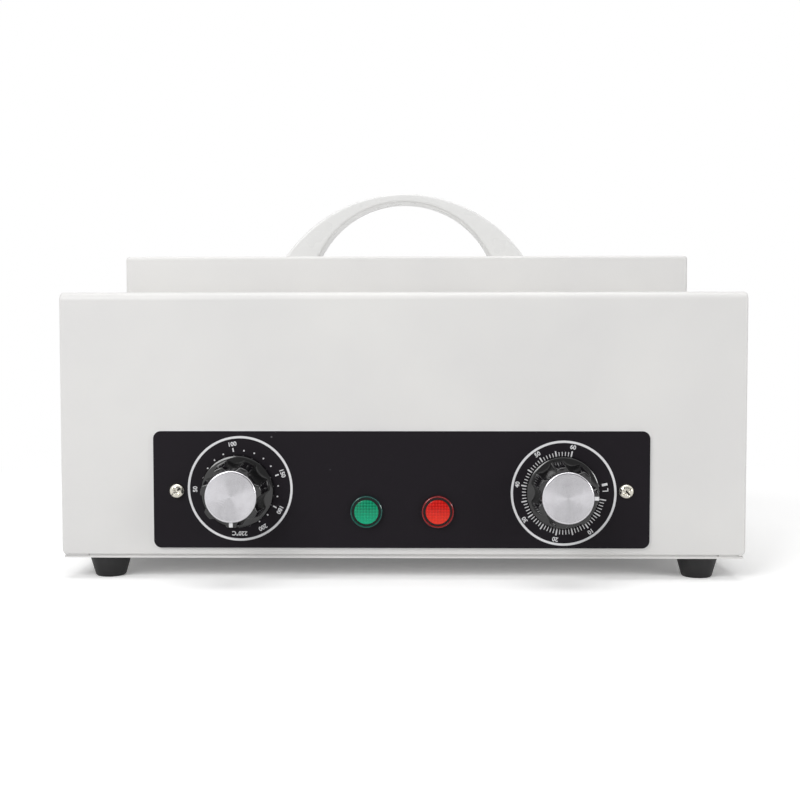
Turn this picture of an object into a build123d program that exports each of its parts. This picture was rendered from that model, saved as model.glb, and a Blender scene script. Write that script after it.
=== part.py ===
# A bench-top dry heat sterilizer. A painted sheet steel cabinet holds a drawn stainless
# tank that opens upwards, with a tubular heater clamped under its floor. A shallow box lid
# with an arched handle swings up on two hinges. The panel in front carries a thermostat
# knob, a timer knob and two lamps.
# X runs to the right, Y to the back and Z up, in millimetres. The origin is on the bench,
# under the middle of the whole outline.
from build123d import *
import os

os.makedirs("parts", exist_ok=True)

# Cabinet
housing_width = 360.0
housing_depth = 205.0
housing_height = 139.0
sheet = 1.0
fold_radius = 4.5
floor_fold_radius = 3.5
edge_radius = 1.6
return_flange = 14.0
wall_lift = 1.2
plate_inset = 0.8
lip_height = 8.0
sheet_fit = 0.3

# Feet
foot_height = 11.0
foot_top_radius = 11.0
foot_tip_radius = 8.0
foot_bore_radius = 4.8
foot_side_inset = 23.0
foot_end_inset = 12.0

# Lid
lid_setback = 28.5
lid_side_margin = 27.0
lid_rear_margin = 26.5
lid_shift = 1.5
lid_height = 20.1
lid_gap = 0.4
lid_corner = 2.5
lid_edge = 1.8
liner_sheet = 0.8
liner_lip = 4.0
liner_dish = 3.0
dish_margin = 6.0
dish_slope = 4.0
dish_corner = 14.0
lid_wool_margin = 5.0
gasket_margin = 2.0
gasket_width = 5.0
gasket_height = 2.4

# Handle
handle_outer_radius = 86.5
handle_inner_radius = 56.5
handle_rise = 41.5
crown_thickness = 4.9
handle_width = 24.0
handle_edge = 1.6
handle_wall = 2.6
handle_core_height = 11.0
handle_boss_radius = 4.4
handle_screw_offset = 63.5
handle_screw_depth = 9.0
handle_shift = -1.5

# Hinges
hinge_axis_height = 3.0
hinge_axis_gap = 3.0
hinge_width = 36.0
hinge_middle = 16.0
hinge_end_inset = 50.0
knuckle_radius = 2.6
knuckle_gap = 0.3
hinge_pin_radius = 1.25
pin_fit = 0.04
leaf_thickness = 1.2
leaf_length = 13.0
leaf_notch = 3.3
leaf_screw_spacing = 22.0
leaf_screw_reach = 8.5

# Tank and tray
tank_side_margin = 18.0
tank_end_margin = 19.0
tank_sheet = 0.8
tank_corner = 18.0
tank_floor_radius = 8.0
tank_flange = 12.0
rivet_radius = 2.2
rivet_inset = 2.9
rivet_pitch = 100.0
tray_side_gap = 10.0
tray_height = 28.0
tray_corner = 12.0
tray_floor_radius = 3.0
tray_rim = 3.0
tray_hole_radius = 4.0
tray_hole_pitch = 28.0

# Heater, wool and its pan
element_radius = 3.3
element_pitch = 20.0
element_span = 190.0
element_end_reach = 6.5
clamp_sheet = 1.5
clamp_length = 240.0
clamp_width = 84.0
stud_radius = 2.0
stud_spread = 120.0
nut_height = 3.2
nut_across = 7.0
wool_side = 14.0
wool_floor = 10.0
pan_sheet = 0.6
pan_flange = 8.0
soft_gap = 0.3
touch_gap = 0.2

# Control panel
panel_width = 260.0
panel_height = 61.5
panel_thickness = 1.5
panel_corner = 4.0
panel_centre_x = -0.65
panel_centre_z = 47.5
print_thickness = 0.12
ring_radius = 27.0
ring_line = 1.2
panel_screw_spread = 235.4
panel_screw_z = 46.8

# Dials: the knobs' axes, and the printed rings that sit slightly off them
thermostat_x = -86.2
thermostat_z = 46.8
thermostat_ring = (-85.0, 48.1)
timer_x = 83.8
timer_z = 46.3
timer_ring = (84.4, 45.8)
thermostat_turn = 180.0
timer_turn = 90.6

# Knobs
knob_gap = 0.7
knob_height = 24.8
skirt_radius = 19.2
skirt_height = 3.2
lobe_base_radius = 17.4
lobe_top_radius = 15.6
scallop_count = 7
scallop_depth = 2.8
scallop_radius = 5.7
knob_cap_radius = 13.2
knob_cap_thickness = 1.8
knob_cap_rise = 1.0
hub_radius = 6.2
knob_core_radius = 10.8
knob_core_depth = 17.0
pointer_width = 1.9
pointer_depth = 0.4
shaft_radius = 3.0
shaft_inside = 13.0
running_fit = 0.05
bushing_radius = 4.8

# Thermostat, timer and the screws that hold them behind the front sheet
thermostat_size = 34.0
thermostat_depth = 22.0
timer_size = 46.0
timer_depth = 28.0
bell_radius = 17.0
bell_height = 11.0
control_screw_spread = 28.0
tab_width = 4.8
tab_thickness = 0.8
tab_length = 7.0

# Lamps
lamp_spread = 37.4
lamp_z = 36.0
lens_rim_radius = 8.4
lens_rim_height = 2.2
lens_face_radius = 6.4
lens_face_rise = 2.6
lens_groove = 0.9
lens_stem_radius = 6.0
lamp_body_radius = 7.2
lamp_body_depth = 20.0

# Mains inlet
inlet_x = 120.0
inlet_z = 45.0
inlet_flange = 3.0
inlet_flange_width = 50.0
inlet_flange_height = 22.5
inlet_body_width = 27.0
inlet_body_height = 19.6
inlet_body_depth = 20.0
inlet_cavity_width = 24.0
inlet_cavity_height = 16.0
inlet_cavity_depth = 18.0
inlet_screw_spread = 40.0
blade_width = 4.0
blade_thickness = 2.0
blade_reach = 12.5
blade_spread = 14.0
blade_offset = 4.0

# Wiring and terminals
wire_radius = 1.3
wire_bend = 8.0
wire_bend_tight = 3.0
wire_gap = 0.3
block_width = 34.0
block_length = 20.0
block_height = 16.0
block_setback = 62.0
earth_setback = 12.0
cutout_radius = 8.0
cutout_height = 9.0
bulb_radius = 2.5
bulb_length = 80.0
capillary_radius = 0.8
capillary_bend = 9.0

# Vents
vent_width = 3.0
vent_length = 26.0
vent_pitch = 9.0
floor_vent_count = 14
rear_vent_count = 9

# Places along Y, from the knobs in front to the inlet's flange behind
knob_reach = panel_thickness + knob_gap + knob_height
front_y = (knob_reach - housing_depth - inlet_flange) / 2
rear_y = front_y + housing_depth
middle_y = (front_y + rear_y) / 2
panel_face_y = front_y - panel_thickness
inner_front_y = front_y + sheet
inner_rear_y = rear_y - sheet

# Levels along Z
base_top_z = foot_height + sheet
wall_bottom_z = base_top_z + wall_lift
housing_top_z = base_top_z + housing_height
lid_bottom_z = housing_top_z + lid_gap
lid_top_z = lid_bottom_z + lid_height
flange_top_z = housing_top_z + tank_sheet
gasket_bottom_z = flange_top_z + touch_gap
liner_z = gasket_bottom_z + gasket_height
controls_top_z = timer_z + timer_size / 2
pan_bottom_z = controls_top_z + 4 * sheet_fit
wool_bottom_z = pan_bottom_z + pan_sheet
clamp_z = wool_bottom_z + wool_floor + soft_gap
element_z = clamp_z + clamp_sheet + touch_gap + element_radius
tank_floor_z = element_z + element_radius + touch_gap
tank_inside_z = tank_floor_z + tank_sheet

# Places inside the cabinet
block_y = rear_y - block_setback
wire_z = base_top_z + block_height * 0.35

# Lid, tank and wool sizes that follow from the cabinet
lid_length = housing_width - 2 * lid_side_margin
lid_width = housing_depth - lid_setback - lid_rear_margin
lid_y = front_y + lid_setback + lid_width / 2
lid_rear_y = lid_y + lid_width / 2
tank_length = lid_length - 2 * tank_side_margin
tank_width = lid_width - 2 * tank_end_margin
tank_y = lid_y
tank_outer_length = tank_length + 2 * tank_sheet
tank_outer_width = tank_width + 2 * tank_sheet
wool_length = tank_outer_length + 2 * (soft_gap + wool_side)
wool_width = tank_outer_width + 2 * (soft_gap + wool_side)
pan_length = wool_length + 2 * (soft_gap + pan_sheet)
pan_width = wool_width + 2 * (soft_gap + pan_sheet)
hinge_axis_y = lid_rear_y + hinge_axis_gap
hinge_axis_z = housing_top_z + hinge_axis_height
hinge_places = [lid_shift - lid_length / 2 + hinge_end_inset, lid_shift + lid_length / 2 - hinge_end_inset]
handle_x = lid_shift + handle_shift
handle_screw_places = [handle_x - handle_screw_offset, handle_x + handle_screw_offset]
foot_places = [(x, y) for x in (-housing_width / 2 + foot_side_inset, housing_width / 2 - foot_side_inset)
               for y in (front_y + foot_end_inset, rear_y - foot_end_inset)]
stud_places = [(x, tank_y + y) for x in (-stud_spread / 2, stud_spread / 2)
               for y in (-element_pitch, element_pitch)]
rivet_places = [(x, tank_y + y) for x in (-rivet_pitch, 0, rivet_pitch)
                for y in (-(tank_outer_width / 2 + tank_flange - rivet_inset),
                          tank_outer_width / 2 + tank_flange - rivet_inset)]
lamp_places = [-lamp_spread / 2, lamp_spread / 2]
panel_screw_places = [panel_centre_x - panel_screw_spread / 2, panel_centre_x + panel_screw_spread / 2]
base_screw_places = [(x, middle_y + y) for x in (-(housing_width - return_flange) / 2,
                                                 (housing_width - return_flange) / 2)
                     for y in (-housing_depth / 4, housing_depth / 4)]

# Screws: head radius, head height, shank radius
m4_pan = (4.1, 2.4, 2.0)
m35_pan = (3.3, 2.2, 1.75)
m3_flat = (2.6, 1.2, 1.45)
hole_fit = 0.05

LOW = (Align.CENTER, Align.CENTER, Align.MIN)


# Shared shapes
def box(x, y, z, width, depth, height):
    """A box that stands on the point x, y, z."""
    return Pos(x, y, z) * Box(width, depth, height, align=LOW)


def rod(start, direction, radius, length):
    """A round bar from start along a direction."""
    return Plane(origin=start, z_dir=direction) * Cylinder(radius, length, align=LOW)


def turned(start, direction, profile):
    """A turned piece. The profile gives its radius at each distance along the axis."""
    outline = [(0, profile[0][0])] + [(radius, along) for along, radius in profile] + [(0, profile[-1][0])]
    face = make_face(Plane.XZ * Polyline(*outline, close=True))
    return Plane(origin=start, z_dir=direction) * revolve(face, Axis.Z)


def slab(x, y, z, width, depth, height, corner):
    """A slab with upright rounded corners that stands on the point x, y, z."""
    return Pos(x, y, z) * extrude(RectangleRounded(width, depth, corner), height)


def tube(points, radius, bend):
    """A round bar along straight runs, with every corner turned at one bend radius."""
    path = FilletPolyline(*points, radius=bend)
    start = Plane(origin=points[0], z_dir=Vector(*points[1]) - Vector(*points[0]))
    return sweep(start * Circle(radius), path=path)


def pan_screw(head_seat, direction, size, length):
    """A domed screw. The head's flat underside is at head_seat and the shank runs along direction."""
    head, height, shank = size
    dome = [(-height, head * 0.45), (-height * 0.85, head * 0.72), (-height * 0.5, head * 0.93), (0, head)]
    return turned(head_seat, direction, dome + [(0, shank), (length, shank)])


def flat_screw(face, direction, size, length):
    """A countersunk screw, flush with the point called face."""
    head, height, shank = size
    return turned(face, direction, [(0, head), (height, shank), (length, shank)])


def hexagon(x, y, z, across, height, bore):
    """A hexagon nut that stands on the point x, y, z."""
    outline = RegularPolygon(across / 2, 6, major_radius=False) - Circle(bore)
    return Pos(x, y, z) * extrude(outline, height)


def knob_plane(x, z):
    """The plane behind a knob, facing the user, with its own Y pointing up."""
    return Plane(origin=(x, panel_face_y - knob_gap, z), x_dir=(1, 0, 0), z_dir=(0, -1, 0))


# Cabinet shell
def cabinet_block(inset):
    """The cabinet's outline moved in by inset, with folded top edges and folded side returns."""
    with BuildPart() as block:
        with BuildSketch(Plane.YZ) as side:
            Rectangle(housing_depth - 2 * inset, housing_height - 2 * inset)
            fillet(side.vertices().group_by(Axis.Y)[-1], fold_radius - inset)
        extrude(amount=housing_width / 2 - inset, both=True)
        fillet(block.edges().filter_by(Axis.Y).group_by(Axis.Z)[0], floor_fold_radius - inset)
        fillet(block.edges().filter_by(Axis.Z), edge_radius - 0.6 * inset)
    return Pos(0, middle_y, (base_top_z + housing_top_z) / 2) * block.part


def outer_housing():
    shell = cabinet_block(0) - cabinet_block(sheet)
    inner_depth = housing_depth - 2 * sheet
    shell -= box(0, middle_y, base_top_z - sheet, housing_width - 2 * return_flange, inner_depth, 3 * sheet)
    shell -= box(0, middle_y, base_top_z - sheet, housing_width - 2 * floor_fold_radius,
                 housing_depth + 2, sheet + wall_lift) & (
        box(0, front_y, 0, housing_width, 2 * sheet, housing_height)
        + box(0, rear_y, 0, housing_width, 2 * sheet, housing_height))
    cutters = [slab(0, tank_y, housing_top_z - 2 * sheet, tank_outer_length + 2 * sheet_fit,
                    tank_outer_width + 2 * sheet_fit, 3 * sheet, tank_corner + tank_sheet + sheet_fit)]
    for x, z in ((thermostat_x, thermostat_z), (timer_x, timer_z)):
        cutters.append(rod((x, front_y - sheet, z), (0, 1, 0), bushing_radius + 0.2, 3 * sheet))
        for side in (-1, 1):
            cutters.append(turned((x + side * control_screw_spread / 2, front_y, z), (0, 1, 0),
                                  [(0, 2.7), (sheet, 1.6), (2 * sheet, 1.6)]))
    for x in lamp_places:
        cutters.append(rod((x, front_y - sheet, lamp_z), (0, 1, 0), lens_stem_radius + 0.2, 3 * sheet))
    for x in panel_screw_places:
        cutters.append(rod((x, front_y - sheet, panel_screw_z), (0, 1, 0), m4_pan[2] + hole_fit, 3 * sheet))
    for x, y in base_screw_places:
        cutters.append(rod((x, y, base_top_z - sheet), (0, 0, 1), m35_pan[2] + hole_fit, 3 * sheet))
    for x, y in rivet_places:
        cutters.append(rod((x, y, housing_top_z - 2 * sheet), (0, 0, 1), rivet_radius / 2 + hole_fit, 3 * sheet))
    for x in hinge_places:
        for side in (-1, 1):
            cutters.append(rod((x + side * leaf_screw_spacing / 2, hinge_axis_y + leaf_screw_reach,
                                housing_top_z - 2 * sheet), (0, 0, 1), m3_flat[2] + hole_fit, 3 * sheet))
    cutters.append(Plane(origin=(inlet_x, rear_y - 2 * sheet, inlet_z), z_dir=(0, 1, 0), x_dir=(1, 0, 0))
                   * extrude(RectangleRounded(inlet_body_width + 2 * sheet_fit,
                                              inlet_body_height + 2 * sheet_fit, 2), 3 * sheet))
    for side in (-1, 1):
        cutters.append(rod((inlet_x + side * inlet_screw_spread / 2, rear_y - 2 * sheet, inlet_z), (0, 1, 0),
                           m3_flat[2] + hole_fit, 3 * sheet))
    for i in range(rear_vent_count):
        x = -inlet_x + (i - (rear_vent_count - 1) / 2) * vent_pitch
        cutters.append(box(x, rear_y - sheet / 2, inlet_z, vent_width, 3 * sheet, vent_length))
    return shell - cutters


def base_plate():
    width = housing_width - 2 * plate_inset
    depth = housing_depth - 2 * plate_inset
    plate = slab(0, middle_y, foot_height, width, depth, sheet, edge_radius)
    lip_width = housing_width - 2 * return_flange - 2 * sheet_fit
    for y in (inner_front_y + sheet_fit + sheet / 2, inner_rear_y - sheet_fit - sheet / 2):
        plate += box(0, y, foot_height, lip_width, sheet, sheet + lip_height)
    cutters = []
    for x, y in base_screw_places:
        cutters.append(rod((x, y, foot_height - sheet), (0, 0, 1), m35_pan[2] + hole_fit, 3 * sheet))
    for x, y in foot_places:
        cutters.append(rod((x, y, foot_height - sheet), (0, 0, 1), m4_pan[2] + hole_fit, 3 * sheet))
    for i in range(floor_vent_count):
        x = (i - (floor_vent_count - 1) / 2) * vent_pitch
        cutters.append(box(x, middle_y, foot_height - sheet, vent_width, vent_length, 3 * sheet))
    return plate - cutters


def foot(x, y):
    """A moulded rubber foot, tapered, with a recess that hides its screw."""
    floor = foot_height * 0.45
    profile = [(0, foot_tip_radius - 0.6), (0.6, foot_tip_radius), (foot_height, foot_top_radius)]
    bore = rod((x, y, -1), (0, 0, 1), foot_bore_radius, floor + 1)
    shank = rod((x, y, 0), (0, 0, 1), m4_pan[2] + hole_fit, foot_height + 1)
    return turned((x, y, 0), (0, 0, 1), profile) - bore - shank


def foot_screws():
    seat = foot_height * 0.45
    return [pan_screw((x, y, seat), (0, 0, 1), m4_pan, foot_height - seat + 5 * sheet) for x, y in foot_places]


def base_screws():
    return [pan_screw((x, y, foot_height), (0, 0, 1), m35_pan, 6 * sheet) for x, y in base_screw_places]


# Tank, tray, heater and wool
def dish(length, width, corner, floor_radius, bottom, top, wall, y):
    """A drawn dish, open at the top, with round corners and a rounded floor."""
    outer = slab(0, y, bottom, length, width, top - bottom, corner)
    outer = fillet(outer.edges().group_by(Axis.Z)[0], floor_radius)
    inner = slab(0, y, bottom + wall, length - 2 * wall, width - 2 * wall, top - bottom, corner - wall)
    inner = fillet(inner.edges().group_by(Axis.Z)[0], floor_radius - wall)
    return outer - inner


def inner_tank():
    tank = dish(tank_outer_length, tank_outer_width, tank_corner + tank_sheet, tank_floor_radius,
                tank_floor_z, flange_top_z, tank_sheet, tank_y)
    flange = slab(0, tank_y, housing_top_z, tank_outer_length + 2 * tank_flange,
                  tank_outer_width + 2 * tank_flange, tank_sheet, tank_corner + tank_sheet + tank_flange)
    flange -= slab(0, tank_y, housing_top_z - 1, tank_length, tank_width, tank_sheet + 2, tank_corner)
    tank += flange
    for x, y in stud_places:
        tank += rod((x, y, clamp_z - nut_height - touch_gap), (0, 0, 1), stud_radius,
                    tank_floor_z - clamp_z + nut_height + touch_gap)
    return tank - [rod((x, y, housing_top_z - 1), (0, 0, 1), rivet_radius / 2 + hole_fit, 3 * sheet)
                   for x, y in rivet_places]


def tank_rivets():
    head = rivet_radius
    body = rivet_radius / 2
    profile = [(-0.9, head * 0.5), (-0.5, head * 0.9), (0, head), (0, body),
               (tank_sheet + sheet + 0.2, body)]
    return [turned((x, y, flange_top_z), (0, 0, -1), profile) for x, y in rivet_places]


def instrument_tray():
    length = tank_length - 2 * tray_side_gap
    width = tank_width - 2 * tray_side_gap
    top = tank_inside_z + tray_height
    tray = dish(length, width, tray_corner, tray_floor_radius, tank_inside_z, top, tank_sheet, tank_y)
    rim = slab(0, tank_y, top - tank_sheet, length + 2 * tray_rim, width + 2 * tray_rim, tank_sheet,
               tray_corner + tray_rim)
    tray += rim - slab(0, tank_y, top - 2 * tank_sheet, length - tank_sheet, width - tank_sheet,
                       3 * tank_sheet, tray_corner - tank_sheet / 2)
    columns = int((length - 2 * tray_corner) // tray_hole_pitch) + 1
    rows = int((width - tray_corner) // tray_hole_pitch)
    holes = Pos(0, tank_y, tank_inside_z - 1) * GridLocations(tray_hole_pitch, tray_hole_pitch, columns, rows)
    return tray - [place * Cylinder(tray_hole_radius, 3 * tank_sheet, align=LOW) for place in holes]


def element_points():
    """The heater's centre line: four runs side by side, with both ends out to the right."""
    left = -element_span / 2
    right = element_span / 2
    end = pan_length / 2 + element_end_reach
    rows = [tank_y + element_pitch * step for step in (-1.5, -0.5, 0.5, 1.5)]
    return [(end, rows[0], element_z), (left, rows[0], element_z), (left, rows[1], element_z),
            (right, rows[1], element_z), (right, rows[2], element_z), (left, rows[2], element_z),
            (left, rows[3], element_z), (end, rows[3], element_z)]


def heating_element():
    points = element_points()
    bar = tube(points, element_radius, element_pitch / 2 - 0.1)
    for start in (points[0], points[-1]):
        bar += box(start[0] + tab_length / 2, start[1], element_z - tab_width / 2, tab_length,
                   tab_thickness, tab_width)
    return bar


def heater_clamp():
    """A pressed plate with a shallow upturned edge on both long sides."""
    plate = box(0, tank_y, clamp_z, clamp_length, clamp_width, clamp_sheet)
    for side in (-1, 1):
        plate += box(0, tank_y + side * (clamp_width - clamp_sheet) / 2, clamp_z, clamp_length,
                     clamp_sheet, clamp_sheet + element_radius)
    return plate - [rod((x, y, clamp_z - 1), (0, 0, 1), stud_radius + 0.3, clamp_sheet + 2)
                    for x, y in stud_places]


def heater_nuts():
    return [hexagon(x, y, clamp_z - nut_height, nut_across, nut_height, stud_radius + hole_fit)
            for x, y in stud_places]


def tank_wool():
    """A block of glass wool with a pocket for the tank and a lower one for the heater."""
    top = housing_top_z - sheet - soft_gap
    block = slab(0, tank_y, wool_bottom_z, wool_length, wool_width, top - wool_bottom_z,
                 tank_corner + tank_sheet + wool_side)
    block -= slab(0, tank_y, tank_floor_z - soft_gap, tank_outer_length + 2 * soft_gap,
                  tank_outer_width + 2 * soft_gap, top, tank_corner + tank_sheet + soft_gap)
    block -= box(0, tank_y, clamp_z - soft_gap, clamp_length + 2 * wool_side / 3, clamp_width + wool_side / 3,
                 tank_floor_z - clamp_z + soft_gap)
    for x, y in stud_places:
        block -= rod((x, y, clamp_z - nut_height - 2 * soft_gap - touch_gap), (0, 0, 1),
                     nut_across / 2 + 1, nut_height + 2)
    points = element_points()
    for start in (points[0], points[-1]):
        block -= rod((0, start[1], element_z), (1, 0, 0), element_radius + soft_gap, pan_length)
    block -= rod((0, tank_y, element_z), (-1, 0, 0), capillary_radius + soft_gap, pan_length)
    return block


def wool_pan():
    """The sheet pan round the wool, hung by its flange from the underside of the cabinet's top."""
    top = housing_top_z - sheet
    corner = tank_corner + tank_sheet + wool_side + soft_gap + pan_sheet
    pan = slab(0, tank_y, pan_bottom_z, pan_length, pan_width, top - pan_bottom_z, corner)
    pan += slab(0, tank_y, top - pan_sheet, pan_length + 2 * pan_flange, pan_width + 2 * pan_flange,
                pan_sheet, corner + pan_flange)
    pan -= slab(0, tank_y, wool_bottom_z, pan_length - 2 * pan_sheet, pan_width - 2 * pan_sheet, top,
                corner - pan_sheet)
    points = element_points()
    for start in (points[0], points[-1]):
        pan -= rod((0, start[1], element_z), (1, 0, 0), element_radius + sheet_fit, pan_length)
    pan -= rod((0, tank_y, element_z), (-1, 0, 0), capillary_radius + sheet_fit, pan_length)
    return pan


# Front panel, lamps and dials
def control_panel():
    plane = Plane(origin=(panel_centre_x, front_y, panel_centre_z), x_dir=(1, 0, 0), z_dir=(0, -1, 0))
    panel = plane * extrude(RectangleRounded(panel_width, panel_height, panel_corner), panel_thickness)
    cutters = []
    for x, z in ((thermostat_x, thermostat_z), (timer_x, timer_z)):
        cutters.append(rod((x, panel_face_y - 1, z), (0, 1, 0), bushing_radius + 0.4, panel_thickness + 2))
    for x in lamp_places:
        cutters.append(rod((x, panel_face_y - 1, lamp_z), (0, 1, 0), lens_stem_radius + 0.2,
                           panel_thickness + 2))
    for x in panel_screw_places:
        cutters.append(rod((x, panel_face_y - 1, panel_screw_z), (0, 1, 0), m4_pan[2] + 0.2,
                           panel_thickness + 2))
    return panel - cutters


def panel_screws():
    return [pan_screw((x, panel_face_y, panel_screw_z), (0, 1, 0), m4_pan, panel_thickness + 6 * sheet)
            for x in panel_screw_places]


def dial_print(centre, marks):
    """A printed ring with marks. Each mark is its angle, clockwise from the top, its start and its end."""
    plane = Plane(origin=(centre[0], panel_face_y, centre[1]), x_dir=(1, 0, 0), z_dir=(0, -1, 0))
    ring = Circle(ring_radius + ring_line / 2) - Circle(ring_radius - ring_line / 2)
    bars = [Rot(0, 0, -angle) * Pos(0, (low + high) / 2) * Rectangle(width, high - low)
            for angle, low, high, width in marks]
    return [plane * extrude(shape, print_thickness) for shape in [ring] + bars]


def temperature_scale():
    """Marks every ten degrees from 50 to 220, longer at 100, 150 and 180."""
    marks = []
    for degrees in range(50, 230, 10):
        angle = (degrees - 100) * 1.6 - 10
        if degrees in (100, 150, 180):
            marks.append((angle, 19.6, 21.6, 0.7))
        elif degrees not in (50, 220):
            marks.append((angle, 19.6, 20.4, 0.7))
    return dial_print(thermostat_ring, marks)


def timer_scale():
    """Marks every five minutes from 0 to 60, round three quarters of a turn."""
    return dial_print(timer_ring, [(99.5 + 4.53 * minutes, 19.8, 22.4, 0.7) for minutes in range(0, 61, 5)])


def lamp_lens(x):
    """A clear moulded lens: a rim on the panel, a groove, a raised face and a stem through the sheet."""
    stem = panel_thickness + 5 * sheet
    profile = [(-lens_face_rise, lens_face_radius - 0.8), (-lens_face_rise + 0.5, lens_face_radius),
               (-0.9, lens_face_radius), (-0.9, lens_face_radius + lens_groove),
               (-lens_rim_height + 0.3, lens_face_radius + lens_groove),
               (-lens_rim_height, lens_face_radius + lens_groove + 0.3),
               (-lens_rim_height, lens_rim_radius - 0.4), (-lens_rim_height + 0.5, lens_rim_radius),
               (0, lens_rim_radius), (0, lens_stem_radius), (stem, lens_stem_radius)]
    return turned((x, panel_face_y, lamp_z), (0, 1, 0), profile)


def lamp_holder(x):
    """The black body behind a lens: a collar against the sheet, a closed case and two tabs."""
    stem_end = 5 * sheet + sheet_fit
    start = (x, inner_front_y, lamp_z)
    holder = turned(start, (0, 1, 0), [(0, lamp_body_radius + 1.2), (2.5, lamp_body_radius + 1.2),
                                       (3.5, lamp_body_radius), (lamp_body_depth, lamp_body_radius)])
    holder -= rod((x, inner_front_y - 1, lamp_z), (0, 1, 0), lens_stem_radius + 0.1, stem_end)
    for side in (-1, 1):
        holder += box(x + side * lamp_body_radius / 2, inner_front_y + lamp_body_depth + tab_length / 2,
                      lamp_z - tab_width / 2, tab_thickness, tab_length, tab_width)
    return holder


def lobed_outline(radius):
    """A knob's grip in section: a circle with seven soft scallops, and a lobe at the top."""
    scallops = [Rot(0, 0, 360 * (i + 0.5) / scallop_count)
                * Pos(0, radius - scallop_depth + scallop_radius) * Circle(scallop_radius)
                for i in range(scallop_count)]
    outline = Circle(radius) - scallops
    return fillet(outline.vertices(), 1.4)


def knob_blank():
    """A knob's skirt and grip before the cap's seat and the core are cut."""
    skirt = turned((0, 0, 0), (0, 0, 1), [(0, skirt_radius - 0.4), (0.5, skirt_radius),
                                          (skirt_height - 1.4, skirt_radius), (skirt_height - 0.5, skirt_radius - 0.5),
                                          (skirt_height, skirt_radius - 1.4)])
    top = knob_height - knob_cap_rise
    grip = loft([Pos(0, 0, skirt_height) * lobed_outline(lobe_base_radius),
                 Pos(0, 0, top) * lobed_outline(lobe_top_radius)])
    grip = fillet(grip.edges().group_by(Axis.Z)[-1], 0.7)
    return skirt + grip


def knob_pieces(x, z, turn):
    """A knob's moulding, its white pointer and its turned cap, turned clockwise from the top."""
    top = knob_height - knob_cap_rise
    blank = knob_blank()
    taper = (lobe_base_radius - lobe_top_radius) / (top - skirt_height)
    core = Pos(0, 0, skirt_height) * Cone(lobe_base_radius - pointer_depth,
                                          lobe_top_radius - pointer_depth + taper * pointer_depth,
                                          top - skirt_height - pointer_depth, align=LOW)
    bar = Pos(0, knob_cap_radius + lobe_base_radius / 2 + 0.1, skirt_height) * Box(
        pointer_width, lobe_base_radius, top, align=LOW)
    pointer = (blank & bar) - core
    seat_depth = knob_cap_thickness - knob_cap_rise
    moulding = blank - pointer
    moulding -= Pos(0, 0, top - seat_depth) * Cylinder(knob_cap_radius + running_fit, knob_height, align=LOW)
    cavity = Cylinder(knob_core_radius, knob_core_depth, align=LOW) - Cylinder(
        hub_radius, knob_core_depth, align=LOW)
    moulding -= cavity
    moulding -= Cylinder(shaft_radius + hole_fit, knob_core_depth, align=LOW)
    cap = turned((0, 0, top - seat_depth), (0, 0, 1),
                 [(0, knob_cap_radius), (knob_cap_thickness - 0.6, knob_cap_radius),
                  (knob_cap_thickness - 0.15, knob_cap_radius - 0.35), (knob_cap_thickness, knob_cap_radius - 0.8)])
    place = knob_plane(x, z) * Rot(0, 0, -turn)
    return place * moulding, place * pointer, place * cap


def knob_shaft(x, z):
    """The spindle from inside the control to the bottom of the knob's bore."""
    length = shaft_inside + sheet + panel_thickness + knob_gap + knob_core_depth - 1
    return rod((x, inner_front_y + shaft_inside, z), (0, -1, 0), shaft_radius, length)


def control_body(x, z, size, depth):
    """A control's case: a block behind the sheet, a bushing through it, a bore and two tabs."""
    plane = Plane(origin=(x, inner_front_y, z), x_dir=(1, 0, 0), z_dir=(0, -1, 0))
    body = plane * extrude(RectangleRounded(size, size, 2), -depth)
    body += rod((x, inner_front_y + 1, z), (0, -1, 0), bushing_radius, sheet + panel_thickness + 0.8)
    body -= rod((x, inner_front_y + shaft_inside + 1, z), (0, -1, 0), shaft_radius + running_fit,
                shaft_inside + knob_height)
    for side in (-1, 1):
        body -= rod((x + side * control_screw_spread / 2, inner_front_y - 1, z), (0, 1, 0),
                    m3_flat[2] + hole_fit, 8)
        body += box(x + side * size / 4, inner_front_y + depth + tab_length / 2, z - size / 2 + 1,
                    tab_width, tab_length, tab_thickness)
    return body


def timer_bell():
    """The spun bell that rings when the time is up, on a post behind the timer."""
    back = inner_front_y + timer_depth
    profile = [(2.5, bell_radius), (bell_height - 4, bell_radius - 1), (bell_height - 1, bell_radius - 5),
               (bell_height, bell_radius - 9)]
    inner = [(2, bell_radius - 0.8), (bell_height - 4.4, bell_radius - 1.8),
             (bell_height - 1.6, bell_radius - 5.8), (bell_height - 0.8, bell_radius - 9.4)]
    bell = turned((timer_x, back, timer_z), (0, 1, 0), profile)
    bell -= turned((timer_x, back, timer_z), (0, 1, 0), inner)
    return bell + rod((timer_x, back, timer_z), (0, 1, 0), 3, bell_height - 0.4)


def control_screws():
    size = (2.6, sheet, 1.45)
    return [flat_screw((x + side * control_screw_spread / 2, front_y + 0.02, z), (0, 1, 0), size, 7)
            for x, z in ((thermostat_x, thermostat_z), (timer_x, timer_z)) for side in (-1, 1)]


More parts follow.
